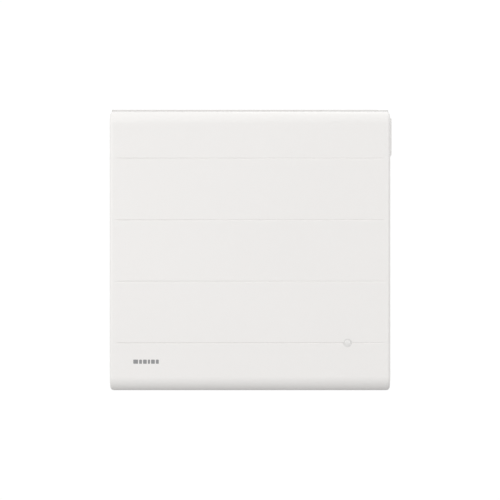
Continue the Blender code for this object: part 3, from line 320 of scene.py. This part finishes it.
def boardMaterial():
    graph = startMaterial("circuitBoard")
    where = graph.place()
    tracks = graph.add("ShaderNodeTexBrick", {}, {"Vector": where, **tracking}, "Fac")
    weave = graph.noise(where, board["weave"], detail=2.0)
    mask = graph.blend(weave, board["dark"], board["light"])
    colour = graph.blend(tracks * board["trackShare"], mask, board["track"])
    height = tracks + board["weaveShare"] * weave
    return graph.finish({"Coat Weight": board["coat"], "Coat Roughness": board["coatRoughness"]},
                        {"Base Color": colour,
                         "Roughness": board["roughness"] + board["spread"] * weave,
                         "Normal": graph.bump(height, board["depth"])})


# amber film with printed resistive tracks from side to side
film = {"dark": (0.40, 0.19, 0.04, 1), "light": (0.52, 0.27, 0.07, 1), "cloud": 30.0,
        "track": (0.09, 0.08, 0.075, 1), "trackScale": 22.0, "trackFrom": 0.55, "depth": 0.00003,
        "roughness": 0.3, "spread": 0.25, "coat": 0.3, "coatRoughness": 0.15}


def filmMaterial():
    graph = startMaterial("heatingFilm")
    where = graph.place()
    waves = graph.add("ShaderNodeTexWave", {"wave_type": "BANDS", "bands_direction": "Z"},
                      {"Vector": where, "Scale": film["trackScale"], "Distortion": 0.0})
    track = waves > film["trackFrom"]
    cloud = graph.noise(where, film["cloud"], detail=2.0)
    amber = graph.blend(cloud, film["dark"], film["light"])
    return graph.finish({"Coat Weight": film["coat"], "Coat Roughness": film["coatRoughness"]},
                        {"Base Color": graph.blend(track, amber, film["track"]),
                         "Roughness": film["roughness"] + film["spread"] * track,
                         "Normal": graph.bump(track, film["depth"])})


# pressed mineral fibre, matt and flecked
fibre = {"dark": (0.50, 0.47, 0.40, 1), "light": (0.74, 0.71, 0.64, 1), "fibre": 420.0,
         "squeeze": (1, 1, 3), "fibreShare": 0.6, "cloud": 35.0, "depth": 0.0004, "roughness": 0.92,
         "sheen": 0.2}


def fibreMaterial():
    graph = startMaterial("mineralFibre")
    fibres = graph.noise(graph.place(fibre["squeeze"]), fibre["fibre"], detail=6.0, roughness=0.7)
    cloud = graph.noise(graph.place(), fibre["cloud"], detail=3.0)
    mask = weighted(fibres, cloud, fibre["fibreShare"])
    colour = graph.blend(mask, fibre["dark"], fibre["light"])
    return graph.finish({"Roughness": fibre["roughness"], "Sheen Weight": fibre["sheen"]},
                        {"Base Color": colour, "Normal": graph.bump(fibres, fibre["depth"])})


# grey printing ink
ink = {"dark": (0.27, 0.273, 0.276, 1), "light": (0.32, 0.323, 0.326, 1), "grain": 1800.0,
       "depth": 0.00001, "roughness": 0.42, "spread": 0.12}


def inkMaterial():
    graph = startMaterial("greyInk")
    grain = graph.noise(graph.place(), ink["grain"], detail=2.0)
    return graph.finish({}, {"Base Color": graph.blend(grain, ink["dark"], ink["light"]),
                             "Roughness": ink["roughness"] + ink["spread"] * grain,
                             "Normal": graph.bump(grain, ink["depth"])})


materials = {                                            # one for each slot of the CAD nodes
    "white_enamel": enamelMaterial("stovedEnamel"),
    "white_plastic": plasticMaterial("whitePlastic"),
    "grey_plastic": plasticMaterial("greyPlastic"),
    "black_plastic": plasticMaterial("blackPlastic"),
    "clear_lens": lensMaterial(),
    "dark_glass": windowMaterial(),
    "zinc_steel": brightMetalMaterial("zincPlate"),
    "aluminium": brightMetalMaterial("extrudedAluminium"),
    "ceramic": plasticMaterial("steatite"),
    "circuit_board": boardMaterial(),
    "heating_film": filmMaterial(),
    "fibre_board": fibreMaterial(),
    "rubber": plasticMaterial("blackRubber"),
    "red_lead": plasticMaterial("redSleeve"),
    "blue_lead": plasticMaterial("blueSleeve"),
}
galvanisedSheet = galvanisedMaterial()
# darker copy of the enamel for the grilles: painted shade
paintedShadeEnamel = enamelMaterial("paintedShadeEnamel")
trimPlastic = plasticMaterial("trimPlastic")
# the side cover's lightened plastic: painted light
paintedLightCoverPlastic = plasticMaterial("paintedLightCoverPlastic")
greyInk = inkMaterial()
symbolInk = plasticMaterial("symbolInk")
unlitSegment = plasticMaterial("unlitSegment")
print("materials made:", len(bpy.data.materials))

sharp = {"rounded": 30, "square": 57.3}                  # degrees from which an edge is chosen
tiny = {"pole": 1e-7, "same": 1e-6, "sliver": 2e-6, "merge": 3e-6, "near": 1e-5}        # metres
overlap = 0.001                                          # how far a cutter stands out of a piece


def addObject(name, data):
    made = bpy.data.objects.new(name, data)
    bpy.context.scene.collection.objects.link(made)
    return made


def meshFrom(bm, name):
    mesh = bpy.data.meshes.new(name)
    bm.to_mesh(mesh)
    bm.free()
    return mesh


def smoothBelow(mesh, angle):
    mesh.shade_smooth()
    mesh.set_sharp_from_angle(angle=math.radians(angle))


def addPiece(name, bm, body, slot, material=None, smoothAngle=35, replaced=()):
    mesh = meshFrom(bm, name)
    piece = addObject(name, mesh)
    mesh.materials.append(material or materials[slot])
    smoothBelow(mesh, smoothAngle)
    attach(piece, body)
    if replaced:
        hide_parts(*replaced)
    return piece


# the middle of a CAD node's box in x and y, at its top
def topOf(node):
    low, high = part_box(node)
    return (low.x + high.x) / 2, (low.y + high.y) / 2, high.z


# a place whose own z points along an axis
def standing(place, axis):
    return Matrix.Translation(place) @ Vector(axis).to_track_quat("Z", "Y").to_matrix().to_4x4()


def atPlace(axis, place):
    return lambda item: all(abs(vert.co[axis] - place) < tiny["same"] for vert in item.verts)


def isBent(edge, angle):
    return edge.calc_face_angle() > math.radians(angle)


def addBox(bm, low, high):
    low, high = Vector(low), Vector(high)
    size = Matrix.Diagonal((*(high - low), 1))
    bmesh.ops.create_cube(bm, size=1, matrix=Matrix.Translation((low + high) / 2) @ size)


def addRod(bm, middle, axis, radius, length, steps):
    bmesh.ops.create_cone(bm, cap_ends=True, segments=steps, radius1=radius, radius2=radius,
                          depth=length, matrix=standing(middle, axis))


def roundEdges(bm, edges, width, steps, clamp=False):
    bmesh.ops.bevel(bm, geom=edges, offset=width, segments=steps, profile=0.5, affect="EDGES",
                    material=-1, clamp_overlap=clamp)


def roundSharp(bm, width, steps):
    chosen = [edge for edge in bm.edges if edge.is_manifold and isBent(edge, sharp["rounded"])]
    roundEdges(bm, chosen, width, steps, clamp=True)


# turns a profile of (radius, height) points round an axis
def spun(name, profile, place, axis, body, slot, steps, replaced=(), angle=35):
    bm = bmesh.new()
    points = [bm.verts.new((radius, 0, height)) for radius, height in profile]
    edges = [bm.edges.new(pair) for pair in zip(points, points[1:])]
    if profile[0][0] > 0:
        edges.append(bm.edges.new((points[-1], points[0])))
    bmesh.ops.spin(bm, geom=points + edges, cent=(0, 0, 0), axis=(0, 0, 1), angle=math.tau,
                   steps=steps, use_merge=True)
    bmesh.ops.remove_doubles(bm, verts=bm.verts, dist=tiny["pole"])
    bmesh.ops.recalc_face_normals(bm, faces=bm.faces)
    bm.transform(standing(place, axis))
    return addPiece(name, bm, body, slot, None, angle, replaced)


# cuts a shape out of a piece for good, together with the piece's own modifiers
def carve(piece, tool, smoothAngle=35):
    cutter = addObject("tool", meshFrom(tool, "tool"))
    cut = piece.modifiers.new("cut", "BOOLEAN")
    cut.operation = "DIFFERENCE"
    cut.solver = "EXACT"
    cut.object = cutter
    bpy.context.view_layer.update()
    graph = bpy.context.evaluated_depsgraph_get()
    whole = bpy.data.meshes.new_from_object(piece.evaluated_get(graph))
    whole.name = piece.name
    bm = bmesh.new()
    bm.from_mesh(whole)
    bmesh.ops.remove_doubles(bm, verts=bm.verts, dist=tiny["merge"])
    bmesh.ops.dissolve_degenerate(bm, edges=bm.edges, dist=tiny["sliver"])
    bm.to_mesh(whole)
    bm.free()
    piece.modifiers.clear()
    piece.data = whole
    bpy.data.objects.remove(cutter, do_unlink=True)
    smoothBelow(whole, smoothAngle)


softening = {"flat": 1, "segments": 2, "smooth": 30}


# a merged copy of a CAD node, its outer edges rounded by a width unless that is 0
def softened(node, width, material=None):
    bm = bmesh.new()
    bm.from_mesh(nodes[node].data)
    bmesh.ops.remove_doubles(bm, verts=bm.verts, dist=tiny["same"])
    bmesh.ops.dissolve_limit(bm, angle_limit=math.radians(softening["flat"]), verts=bm.verts,
                             edges=bm.edges)
    weight = bm.edges.layers.float.new("bevel_weight_edge")
    for edge in bm.edges:
        if edge.is_manifold and edge.is_convex and isBent(edge, sharp["rounded"]):
            edge[weight] = 1
    piece = addPiece(node + "_body", bm, bodyOf[node], slotOf[node], material,
                     softening["smooth"], (node,))
    if width:
        edges = piece.modifiers.new("edges", "BEVEL")
        edges.width = width
        edges.segments = softening["segments"]
        edges.profile = 0.5
        edges.limit_method = "WEIGHT"
        edges.harden_normals = True


# front shell: an enamelled sheet with pressed grooves, rounded all round its front
shell = {"sheet": 0.001, "topRadius": 0.026, "bottomRadius": 0.030, "sideRadius": 0.007,
         "arcSteps": 18, "sideSteps": 6, "firstGroove": 0.0998, "lastGroove": 0.1012, "grooves": 4,
         "grooveWidth": 0.0036, "grooveDepth": 0.0013, "grooveLean": 0.5, "grooveEnd": 0.015,
         "grooveRows": 4, "support": 0.0006, "smooth": 75}


def grooveHeights():
    low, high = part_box("front_panel")
    top, bottom = high.z - shell["firstGroove"], low.z + shell["lastGroove"]
    return [top + (bottom - top) * i / (shell["grooves"] - 1) for i in range(shell["grooves"])]


# splits the chosen faces where planes across an axis pass through them
def cutAcross(bm, isChosen, axis, places):
    normal = Vector((0, 0, 0))
    normal[axis] = 1
    for place in places:
        faces = [face for face in bm.faces if isChosen(face)]
        edges = list(dict.fromkeys(edge for face in faces for edge in face.edges))
        verts = list(dict.fromkeys(vert for face in faces for vert in face.verts))
        bmesh.ops.bisect_plane(bm, geom=verts + edges + faces, dist=tiny["same"],
                               plane_co=normal * place, plane_no=normal)


# how deep a groove is, 0 to 1, at a height above its middle; its floor leans downwards
def grooveShare(rise):
    half, lean = shell["grooveWidth"] / 2, shell["grooveLean"]
    above = rise + half * lean
    away = above / (half * (1 + lean)) if above > 0 else -above / (half * (1 - lean))
    return 0.5 + 0.5 * math.cos(math.pi * away) if away < 1 else 0


def frontShell():
    low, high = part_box("front_panel")
    bm = bmesh.new()
    addBox(bm, low, high)
    onFront, onBack = atPlace(1, low.y), atPlace(1, high.y)
    for height, radius in ((high.z, shell["topRadius"]), (low.z, shell["bottomRadius"])):
        atHeight = atPlace(2, height)
        bend = [edge for edge in bm.edges if atHeight(edge) and onFront(edge)]
        roundEdges(bm, bend, radius, shell["arcSteps"])
    atLeft, atRight = atPlace(0, low.x), atPlace(0, high.x)
    rims = [edge for edge in bm.edges if (atLeft(edge) or atRight(edge)) and not onBack(edge)]
    roundEdges(bm, rims, shell["sideRadius"], shell["sideSteps"])
    bmesh.ops.delete(bm, geom=[face for face in bm.faces if onBack(face)], context="FACES")

    half, near, rows = shell["grooveWidth"] / 2, shell["support"], shell["grooveRows"]
    reach = high.x - shell["grooveEnd"]
    edge = high.x - shell["sideRadius"] - near
    cutAcross(bm, onFront, 0, [side * x for side in (-1, 1) for x in (edge, reach, reach - half)])
    heights = grooveHeights()
    levels = [high.z - shell["topRadius"] - near, low.z + shell["bottomRadius"] + near]
    for height in heights:
        levels += [height + row * half / rows for row in range(-rows - 1, rows + 2)]
    cutAcross(bm, onFront, 2, levels)
    for vert in bm.verts:
        if abs(vert.co.y - low.y) < tiny["near"] and abs(vert.co.x) < reach - tiny["near"]:
            share = max(grooveShare(vert.co.z - height) for height in heights)
            vert.co.y += shell["grooveDepth"] * share
    piece = addPiece("front_shell", bm, "heater", "white_enamel", smoothAngle=shell["smooth"],
                     replaced=("front_panel",))
    wall = piece.modifiers.new("sheet", "SOLIDIFY")
    wall.thickness = shell["sheet"]
    wall.offset = -1
    wall.use_even_offset = True
    return piece


# presence lens: a low dome in a stepped rim, held by a flange behind the sheet
lens = {"rim": 0.0084, "gap": 0.00022, "ring": 0.0069, "ringDepth": 0.0007, "dome": 0.0063,
        "sink": 0.0003, "rise": 0.0012, "flange": 0.0014, "rimEdge": 0.0002, "ringEdge": 0.0001,
        "domeSteps": 9, "steps": 64, "smooth": 30, "holeDepth": 0.006}


def cutLensHole(piece):
    low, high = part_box("presence_lens")
    middle = (low + high) / 2
    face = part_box("front_panel")[0].y
    hole = bmesh.new()
    addRod(hole, (middle.x, face, middle.z), (0, 1, 0), lens["rim"] + lens["gap"],
           lens["holeDepth"], lens["steps"])
    carve(piece, hole, shell["smooth"])


def presenceLens():
    low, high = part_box("presence_lens")
    middle = (low + high) / 2
    sheet = high.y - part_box("front_panel")[0].y
    flange, rim, ring, dome = (high.x - low.x) / 2, lens["rim"], lens["ring"], lens["dome"]
    start, floor = sheet - lens["sink"], sheet - lens["ringDepth"]
    profile = [(0, 0), (flange, 0), (flange, lens["flange"]), (rim, lens["flange"]),
               (rim, sheet - lens["rimEdge"]), (rim - lens["rimEdge"], sheet),
               (ring + lens["ringEdge"], sheet), (ring, sheet - lens["ringEdge"]),
               (ring, floor), (dome, floor)]
    for step in range(lens["domeSteps"]):
        turn = math.radians(90 * step / lens["domeSteps"])
        profile.append((dome * math.cos(turn), start + lens["rise"] * math.sin(turn)))
    profile.append((0, start + lens["rise"]))
    spun("presence_lens_body", profile, (middle.x, high.y, middle.z), (0, -1, 0), "heater",
         "clear_lens", lens["steps"], ("presence_lens",), lens["smooth"])


# printed mark at the lower left: a row of plain bars
mark = {"left": 0.0500, "height": 0.0620, "tall": 0.0086, "thick": 0.00008, "sink": 0.00002,
        "corner": 0.0011, "cornerSteps": 3, "gap": 0.0022,
        "widths": (0.0100, 0.0060, 0.0078, 0.0046, 0.0078, 0.0060)}


def printedMark():
    low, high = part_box("front_panel")
    half, thick = mark["tall"] / 2, mark["thick"]
    x, z = low.x + mark["left"], low.z + mark["height"]
    bm = bmesh.new()
    for width in mark["widths"]:
        addBox(bm, (x, low.y - thick, z - half), (x + width, low.y + mark["sink"], z + half))
        x += width + mark["gap"]
    corners = [edge for edge in bm.edges
               if abs(edge.verts[0].co.y - edge.verts[1].co.y) > thick / 2]
    roundEdges(bm, corners, mark["corner"], mark["cornerSteps"])
    addPiece("printed_mark", bm, "heater", "grey_plastic", greyInk)


# moulded cover on the right side, near the top
cover = {"end": 0.0026, "endSteps": 6, "edge": 0.0006, "edgeSteps": 3, "gap": 0.00005}


def sideCover():
    low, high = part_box("side_cover")
    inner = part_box("front_panel")[1].x + cover["gap"]
    bm = bmesh.new()
    addBox(bm, (inner, low.y, low.z), high)
    onInner, onOuter = atPlace(0, inner), atPlace(0, high.x)
    ends = [edge for edge in bm.edges
            if onOuter(edge) and edge.verts[0].co.z == edge.verts[1].co.z]
    roundEdges(bm, ends, cover["end"], cover["endSteps"])
    rims = [edge for edge in bm.edges if not onInner(edge) and isBent(edge, sharp["square"])]
    roundEdges(bm, rims, cover["edge"], cover["edgeSteps"])
    # the cover's plastic is lightened: painted light against the shade beside the shell's rounding
    addPiece("side_cover_body", bm, "heater", "white_plastic", paintedLightCoverPlastic,
             replaced=("side_cover",))


cutLensHole(frontShell())
presenceLens()
printedMark()
sideCover()
print("front made")

# how far the outer edges of a CAD node are rounded
rounding = {
    "outlet_grille": 0.0006, "inlet_grille": 0.0006, "switch_panel": 0.0006,
    "side_panel_left": 0.0007, "side_panel_right": 0.0007, "control_panel": 0.0004,
    "control_flap": 0.0004, "switch_body": 0.0004, "switch_rocker": 0.0006,
    "display_window": 0.0003, "control_housing": 0.0004, "bracket_upright_left": 0.0003,
    "bracket_upright_right": 0.0003, "bracket_upper_rail": 0.0003, "bracket_lower_rail": 0.0003,
    "catch_left": 0.0005, "catch_right": 0.0005, "keeper_left": 0.0003, "keeper_right": 0.0003,
    "upper_crossmember": 0.0003, "lower_crossmember": 0.0003, "element_support_left": 0.0003,
    "element_support_right": 0.0003, "cutout_clip": 0.0003, "partition": 0.0002,
    "air_deflector": 0.0002, "film_insulation": 0.0012, "power_board": 0.0002,
    "terminal_block": 0.0006, "air_sensor_holder": 0.0006, "heating_element": 0.0003,
    "bumper_left": 0.0012, "bumper_right": 0.0012, "control_board": 0.0002, "key_minus": 0.0003,
    "key_plus": 0.0003, "key_mode": 0.0003, "key_menu": 0.0003, "rear_panel": 0,
}
# the grilles' darker enamel is painted shade
ownFinish = {"outlet_grille": paintedShadeEnamel, "inlet_grille": paintedShadeEnamel, "switch_panel": trimPlastic,
             "control_panel": trimPlastic, "control_flap": trimPlastic,
             "rear_panel": galvanisedSheet}
for node, width in rounding.items():
    softened(node, width, ownFinish.get(node))
print("edges rounded:", len(rounding))

# pan-head screw with a cross recess, its head towards the outside; its dome is given in shares of
# the head's radius and rise
screw = {"head": 0.0036, "rise": 0.0016, "shank": 0.0018, "length": 0.0075, "recess": 0.0040,
         "blade": 0.0009, "depth": 0.0010, "taper": 0.75, "steps": 32,
         "dome": ((1, 0.3), (0.94, 0.6), (0.8, 0.85), (0.55, 0.97))}


def panScrew(name, place, axis, replaced=()):
    head, rise, shank = screw["head"], screw["rise"], screw["shank"]
    profile = [(0, -screw["length"] - shank / 2), (shank, -screw["length"]), (shank, 0), (head, 0)]
    profile += [(head * out, rise * up) for out, up in screw["dome"]] + [(0, rise)]
    piece = spun(name, profile, place, axis, "heater", "zinc_steel", screw["steps"], replaced)
    half, blade = screw["recess"] / 2, screw["blade"] / 2
    for wide, tall in ((half, blade), (blade, half)):
        tool = bmesh.new()
        addBox(tool, (-wide, -tall, rise - screw["depth"]), (wide, tall, rise + overlap))
        floor = [vert for vert in tool.verts if vert.co.z < rise]
        bmesh.ops.scale(tool, verts=floor, vec=(screw["taper"], screw["taper"], 1))
        tool.transform(standing(place, axis))
        carve(piece, tool)


# two screws under the front's lower edge, and one near each corner of the rear panel
rearScrews = {"flange": 0.016, "wall": 0.002, "rise": 0.060, "skirt": 0.012}


def screws():
    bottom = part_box("front_panel")[0].z
    for node in ("shell_screw_1", "shell_screw_2"):
        x, y, _ = topOf(node)
        panScrew(node + "_body", (x, y, bottom), (0, 0, -1), (node,))
    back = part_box("rear_panel")[1].y
    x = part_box("side_panel_right")[1].x - rearScrews["flange"] / 2 - rearScrews["wall"] / 2
    levels = (bottom + rearScrews["rise"], cadHigh.z - rearScrews["skirt"] - rearScrews["rise"])
    places = [(side * x, back, z) for side in (-1, 1) for z in levels]
    for count, place in enumerate(places, 1):
        panScrew(f"rear_screw_{count}", place, (0, 1, 0))


# long pressed beads that stiffen the rear panel: uprights are (x, low, high) and levels are
# (left, right, z); the two shares are of half the width and of the rise
bead = {"width": 0.011, "rise": 0.0016, "sink": 0.0003, "steps": 6, "cornerShare": 0.98,
        "crownShare": 0.95, "smooth": 50,
        "upright": ((-0.232, -0.405, -0.030), (0.232, -0.385, -0.030)),
        "level": ((-0.105, 0.105, -0.055), (-0.105, 0.105, -0.300))}


def rearBeads():
    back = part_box("rear_panel")[1].y
    half, top = bead["width"] / 2, back + bead["rise"]
    bm = bmesh.new()
    spans = [((x - half, low), (x + half, high)) for x, low, high in bead["upright"]]
    spans += [((left, z - half), (right, z + half)) for left, right, z in bead["level"]]
    for start, end in spans:
        addBox(bm, (start[0], back - bead["sink"], start[1]), (end[0], top, end[1]))
    corners = [edge for edge in bm.edges
               if abs(edge.verts[0].co.y - edge.verts[1].co.y) > tiny["near"]]
    roundEdges(bm, corners, half * bead["cornerShare"], bead["steps"])
    atTop = atPlace(1, top)
    crown = [edge for edge in bm.edges if atTop(edge) and isBent(edge, sharp["square"])]
    roundEdges(bm, crown, bead["rise"] * bead["crownShare"], bead["steps"])
    addPiece("rear_beads", bm, "heater", "zinc_steel", galvanisedSheet, bead["smooth"])


# short welds where the bracket's rails meet its uprights, each a row of overlapping drops
weld = {"radius": 0.0011, "runs": (-0.009, 0.009), "length": 0.009, "drops": 9, "detail": 2,
        "inset": 0.0015, "smooth": 60}


def bracketWelds():
    drops = weld["drops"]
    bm = bmesh.new()
    for rail in ("bracket_upper_rail", "bracket_lower_rail"):
        low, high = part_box(rail)
        middle = (low.z + high.z) / 2
        for x in (low.x, high.x):
            for run in weld["runs"]:
                for drop in range(drops):
                    z = middle + run + (drop - drops // 2) * weld["length"] / drops
                    place = Matrix.Translation((x, high.y - weld["inset"], z))
                    bmesh.ops.create_icosphere(bm, subdivisions=weld["detail"],
                                               radius=weld["radius"], matrix=place)
    addPiece("bracket_welds", bm, "bracket", "zinc_steel", smoothAngle=weld["smooth"])


screws()
rearBeads()
bracketWelds()
print("back made")

# raised print on the keys and the display
symbol = {"thick": 0.00006, "line": 0.0008, "thinLine": 0.00064, "long": 0.0042, "ring": 0.0021,
          "ringSteps": 32, "pitch": 0.0016}


def flatBar(bm, middle, wide, tall):
    x, y, z = middle
    addBox(bm, (x - wide / 2, y - tall / 2, z - symbol["thick"] / 2),
           (x + wide / 2, y + tall / 2, z + symbol["thick"]))


def flatRing(bm, middle, radius, line):
    x, y, z = middle
    circles = []
    for height in (z - symbol["thick"] / 2, z + symbol["thick"]):
        for size in (radius - line / 2, radius + line / 2):
            made = bmesh.ops.create_circle(bm, cap_ends=False, segments=symbol["ringSteps"],
                                           radius=size, matrix=Matrix.Translation((x, y, height)))
            circles.append(list(dict.fromkeys(edge for vert in made["verts"]
                                              for edge in vert.link_edges)))
    for first, second in ((0, 1), (1, 3), (3, 2), (2, 0)):
        bmesh.ops.bridge_loops(bm, edges=circles[first] + circles[second])
    bmesh.ops.recalc_face_normals(bm, faces=bm.faces)


def keySymbols():
    line, thinLine, long = symbol["line"], symbol["thinLine"], symbol["long"]
    for key in ("key_minus", "key_plus", "key_mode", "key_menu"):
        x, y, z = topOf(key)
        bm = bmesh.new()
        if key in ("key_minus", "key_plus"):
            flatBar(bm, (x, y, z), long, line)
        if key == "key_plus":
            for side in (-1, 1):
                flatBar(bm, (x, y + side * (long + line) / 4, z), line, (long - line) / 2)
        if key == "key_mode":
            flatRing(bm, (x, y, z), symbol["ring"], thinLine)
        if key == "key_menu":
            for step in (-1, 0, 1):
                flatBar(bm, (x, y + step * symbol["pitch"], z), long, thinLine)
        addPiece(key + "_symbol", bm, bodyOf[key], "white_plastic", symbolInk)


# unlit seven-bar digits on the display window
digits = {"tall": 0.0090, "wide": 0.0046, "line": 0.0008, "pitch": 0.0072, "count": 3,
          "gap": 0.0003}


def displayDigits():
    middle, y, z = topOf("display_window")
    half, line = digits["tall"] / 2, digits["line"]
    short = line + 2 * digits["gap"]
    start = middle - digits["pitch"] * (digits["count"] - 1) / 2
    bm = bmesh.new()
    for index in range(digits["count"]):
        x = start + index * digits["pitch"]
        for level in (-1, 0, 1):
            flatBar(bm, (x, y + level * half, z), digits["wide"] - short, line)
        for side in (-1, 1):
            for level in (-0.5, 0.5):
                place = (x + side * digits["wide"] / 2, y + level * half, z)
                flatBar(bm, place, line, half - short)
    addPiece("display_digits", bm, "heater", "dark_glass", unlitSegment)


# raised rim round the display window
bezel = {"wide": 0.0012, "rise": 0.0005, "sink": 0.0001, "edge": 0.0002, "edgeSteps": 2,
         "smooth": 40}


def displayFrame():
    low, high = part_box("display_window")
    wide = bezel["wide"]
    bm = bmesh.new()
    addBox(bm, (low.x - wide, low.y - wide, high.z - bezel["sink"]),
           (high.x + wide, high.y + wide, high.z + bezel["rise"]))
    piece = addPiece("display_frame", bm, "heater", "grey_plastic")
    tool = bmesh.new()
    addBox(tool, (low.x, low.y, high.z - overlap), (high.x, high.y, high.z + 2 * overlap))
    carve(piece, tool)
    rim = bmesh.new()
    rim.from_mesh(piece.data)
    roundSharp(rim, bezel["edge"], bezel["edgeSteps"])
    rim.to_mesh(piece.data)
    rim.free()
    smoothBelow(piece.data, bezel["smooth"])


# ribs on the flap's front edge for a fingertip
grip = {"ribs": 4, "pitch": 0.0016, "width": 0.0007, "rise": 0.00025, "sink": 0.0002,
        "long": 0.024, "back": 0.0022, "edge": 0.0002, "edgeSteps": 2, "smooth": 50}


def flapGrip():
    low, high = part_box("control_flap")
    x = (low.x + high.x) / 2
    bm = bmesh.new()
    for index in range(grip["ribs"]):
        y = low.y + grip["back"] + index * grip["pitch"]
        addBox(bm, (x - grip["long"] / 2, y - grip["width"] / 2, high.z - grip["sink"]),
               (x + grip["long"] / 2, y + grip["width"] / 2, high.z + grip["rise"]))
    roundSharp(bm, grip["edge"], grip["edgeSteps"])
    addPiece("flap_grip", bm, "flap", "white_plastic", trimPlastic, grip["smooth"])


# bush and clamp nut round the cord's hole: a collar on the panel, a ribbed nut and a tip; rib
# lengths are shares of how far the gland stands out
gland = {"bore": 0.0040, "neck": 0.0077, "nut": 0.0098, "lift": 0.0001, "collar": 0.0019,
         "underEdge": 0.0003, "overEdge": 0.0006, "flare": 0.0002, "tipDrop": 0.0004,
         "tipEdge": 0.0006, "mouth": 0.0010, "steps": 48, "ribs": 12, "ribRadius": 0.0009,
         "ribCircle": 1.10, "ribMiddle": 0.45, "ribLong": 0.8, "ribSteps": 10}


def cordGland():
    low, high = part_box("cord_gland")
    x, y, z = (low.x + high.x) / 2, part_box("rear_panel")[1].y, (low.z + high.z) / 2
    inside, outside = y - low.y, high.y - y
    bore, neck, flange = gland["bore"], gland["neck"], (high.x - low.x) / 2
    lift, collar = gland["lift"], gland["collar"]
    profile = [(bore, -inside), (neck, -inside), (neck, lift), (flange - gland["underEdge"], lift),
               (flange, lift + gland["underEdge"]), (flange, collar - gland["overEdge"]),
               (flange - gland["overEdge"], collar), (gland["nut"], collar),
               (neck + gland["flare"], outside - gland["tipDrop"]),
               (neck - gland["tipEdge"], outside), (bore + gland["mouth"], outside),
               (bore, outside - gland["mouth"])]
    spun("cord_gland_body", profile, (x, y, z), (0, 1, 0), "heater", "black_plastic",
         gland["steps"], ("cord_gland",))
    circle = neck * gland["ribCircle"]
    bm = bmesh.new()
    for index in range(gland["ribs"]):
        turn = math.tau * index / gland["ribs"]
        place = (x + math.cos(turn) * circle, y + outside * gland["ribMiddle"],
                 z + math.sin(turn) * circle)
        addRod(bm, place, (0, 1, 0), gland["ribRadius"], outside * gland["ribLong"],
               gland["ribSteps"])
    addPiece("cord_gland_ribs", bm, "heater", "black_plastic")


keySymbols()
displayDigits()
displayFrame()
flapGrip()
cordGland()
print("details made")

for node, item in nodes.items():
    item.data.materials.clear()
    item.data.materials.append(materials[slotOf[node]])

# studio: a plain light ground behind, soft panels in front, a pale floor well below
floorLook = {"drop": 0.90, "radius": 3.6, "steps": 96, "tone": 0.46, "darker": 0.98, "cloud": 1.4,
             "roughness": 0.9}
# brightness in front and at the sides, then how it changes upwards, sideways, behind and below
sky = {"front": 0.60, "lift": 0.30, "leftTilt": 0.07, "behind": 1.03, "behindFrom": -0.5,
       "behindTo": 0.93, "below": 0.5, "belowFrom": 0.19, "belowFade": 0.4}
panels = {
    "leftPanel": {"place": (-2.0, -2.6, 0.5), "size": (1.2, 2.0), "power": 30.3},
    "rightPanel": {"place": (2.0, -3.0, 0.4), "size": (1.6, 1.6), "power": 20.6},
    "overheadPanel": {"place": (0.6, 1.0, 1.8), "size": (1.8, 0.7), "power": 5.0},
}
eye = {"lens": 120.53, "sensor": 36, "distance": 3.5, "drop": 0.2915}


def floorMaterial():
    graph = startMaterial("paleFloor")
    cloud = graph.noise(graph.place(), floorLook["cloud"], detail=2.0)
    colour = graph.tint(cloud, [floorLook["tone"]] * 3, floorLook["darker"], 1.0)
    return graph.finish({"Roughness": floorLook["roughness"]}, {"Base Color": colour})


def makeFloor():
    bm = bmesh.new()
    bmesh.ops.create_circle(bm, cap_ends=True, segments=floorLook["steps"],
                            radius=floorLook["radius"],
                            matrix=Matrix.Translation((0, 0, cadLow.z - floorLook["drop"])))
    floor = addObject("floor", meshFrom(bm, "floor"))
    floor.data.materials.append(floorMaterial())


def makeSky():
    world = bpy.data.worlds.new("studioWorld")
    bpy.context.scene.world = world
    graph = Graph(world)
    where = graph.add("ShaderNodeTexCoord", {}, {}, "Generated")
    across, along, height = [graph.add("ShaderNodeSeparateXYZ", {}, {"Vector": where}, axis)
                             for axis in "XYZ"]
    behind = graph.smoothStep(along, sky["behindFrom"], sky["behindTo"])
    under = graph.smoothStep(0 - height, sky["belowFrom"], sky["belowFrom"] + sky["belowFade"])
    level = sky["front"] + sky["lift"] * height - sky["leftTilt"] * across
    level = level + behind * (sky["behind"] - level)
    strength = level * (1 - (1 - sky["below"]) * under)
    background = graph.tree.nodes["Background"]
    background.inputs["Color"].default_value = (1, 1, 1, 1)
    graph.tree.links.new(strength.output, background.inputs["Strength"])


def makePanel(name, panel):
    data = bpy.data.lights.new(name, "AREA")
    data.shape = "RECTANGLE"
    data.size, data.size_y = panel["size"]
    data.energy = panel["power"]
    light = addObject(name, data)
    light.location = panel["place"]
    aim = (cadLow + cadHigh) / 2 - Vector(panel["place"])
    light.rotation_euler = aim.to_track_quat("-Z", "Y").to_euler()
    light.visible_camera = False


# the camera looks level, straight at the front
def makeCamera():
    low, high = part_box("front_panel")
    data = bpy.data.cameras.new("camera")
    data.lens = eye["lens"]
    data.sensor_width = eye["sensor"]
    camera = addObject("camera", data)
    camera.location = ((low.x + high.x) / 2, low.y - eye["distance"], high.z - eye["drop"])
    camera.rotation_euler = (math.pi / 2, 0, 0)
    bpy.context.scene.camera = camera


makeFloor()
makeSky()
for name, panel in panels.items():
    makePanel(name, panel)
makeCamera()
bpy.context.scene.view_settings.view_transform = "Standard"
print("studio made")
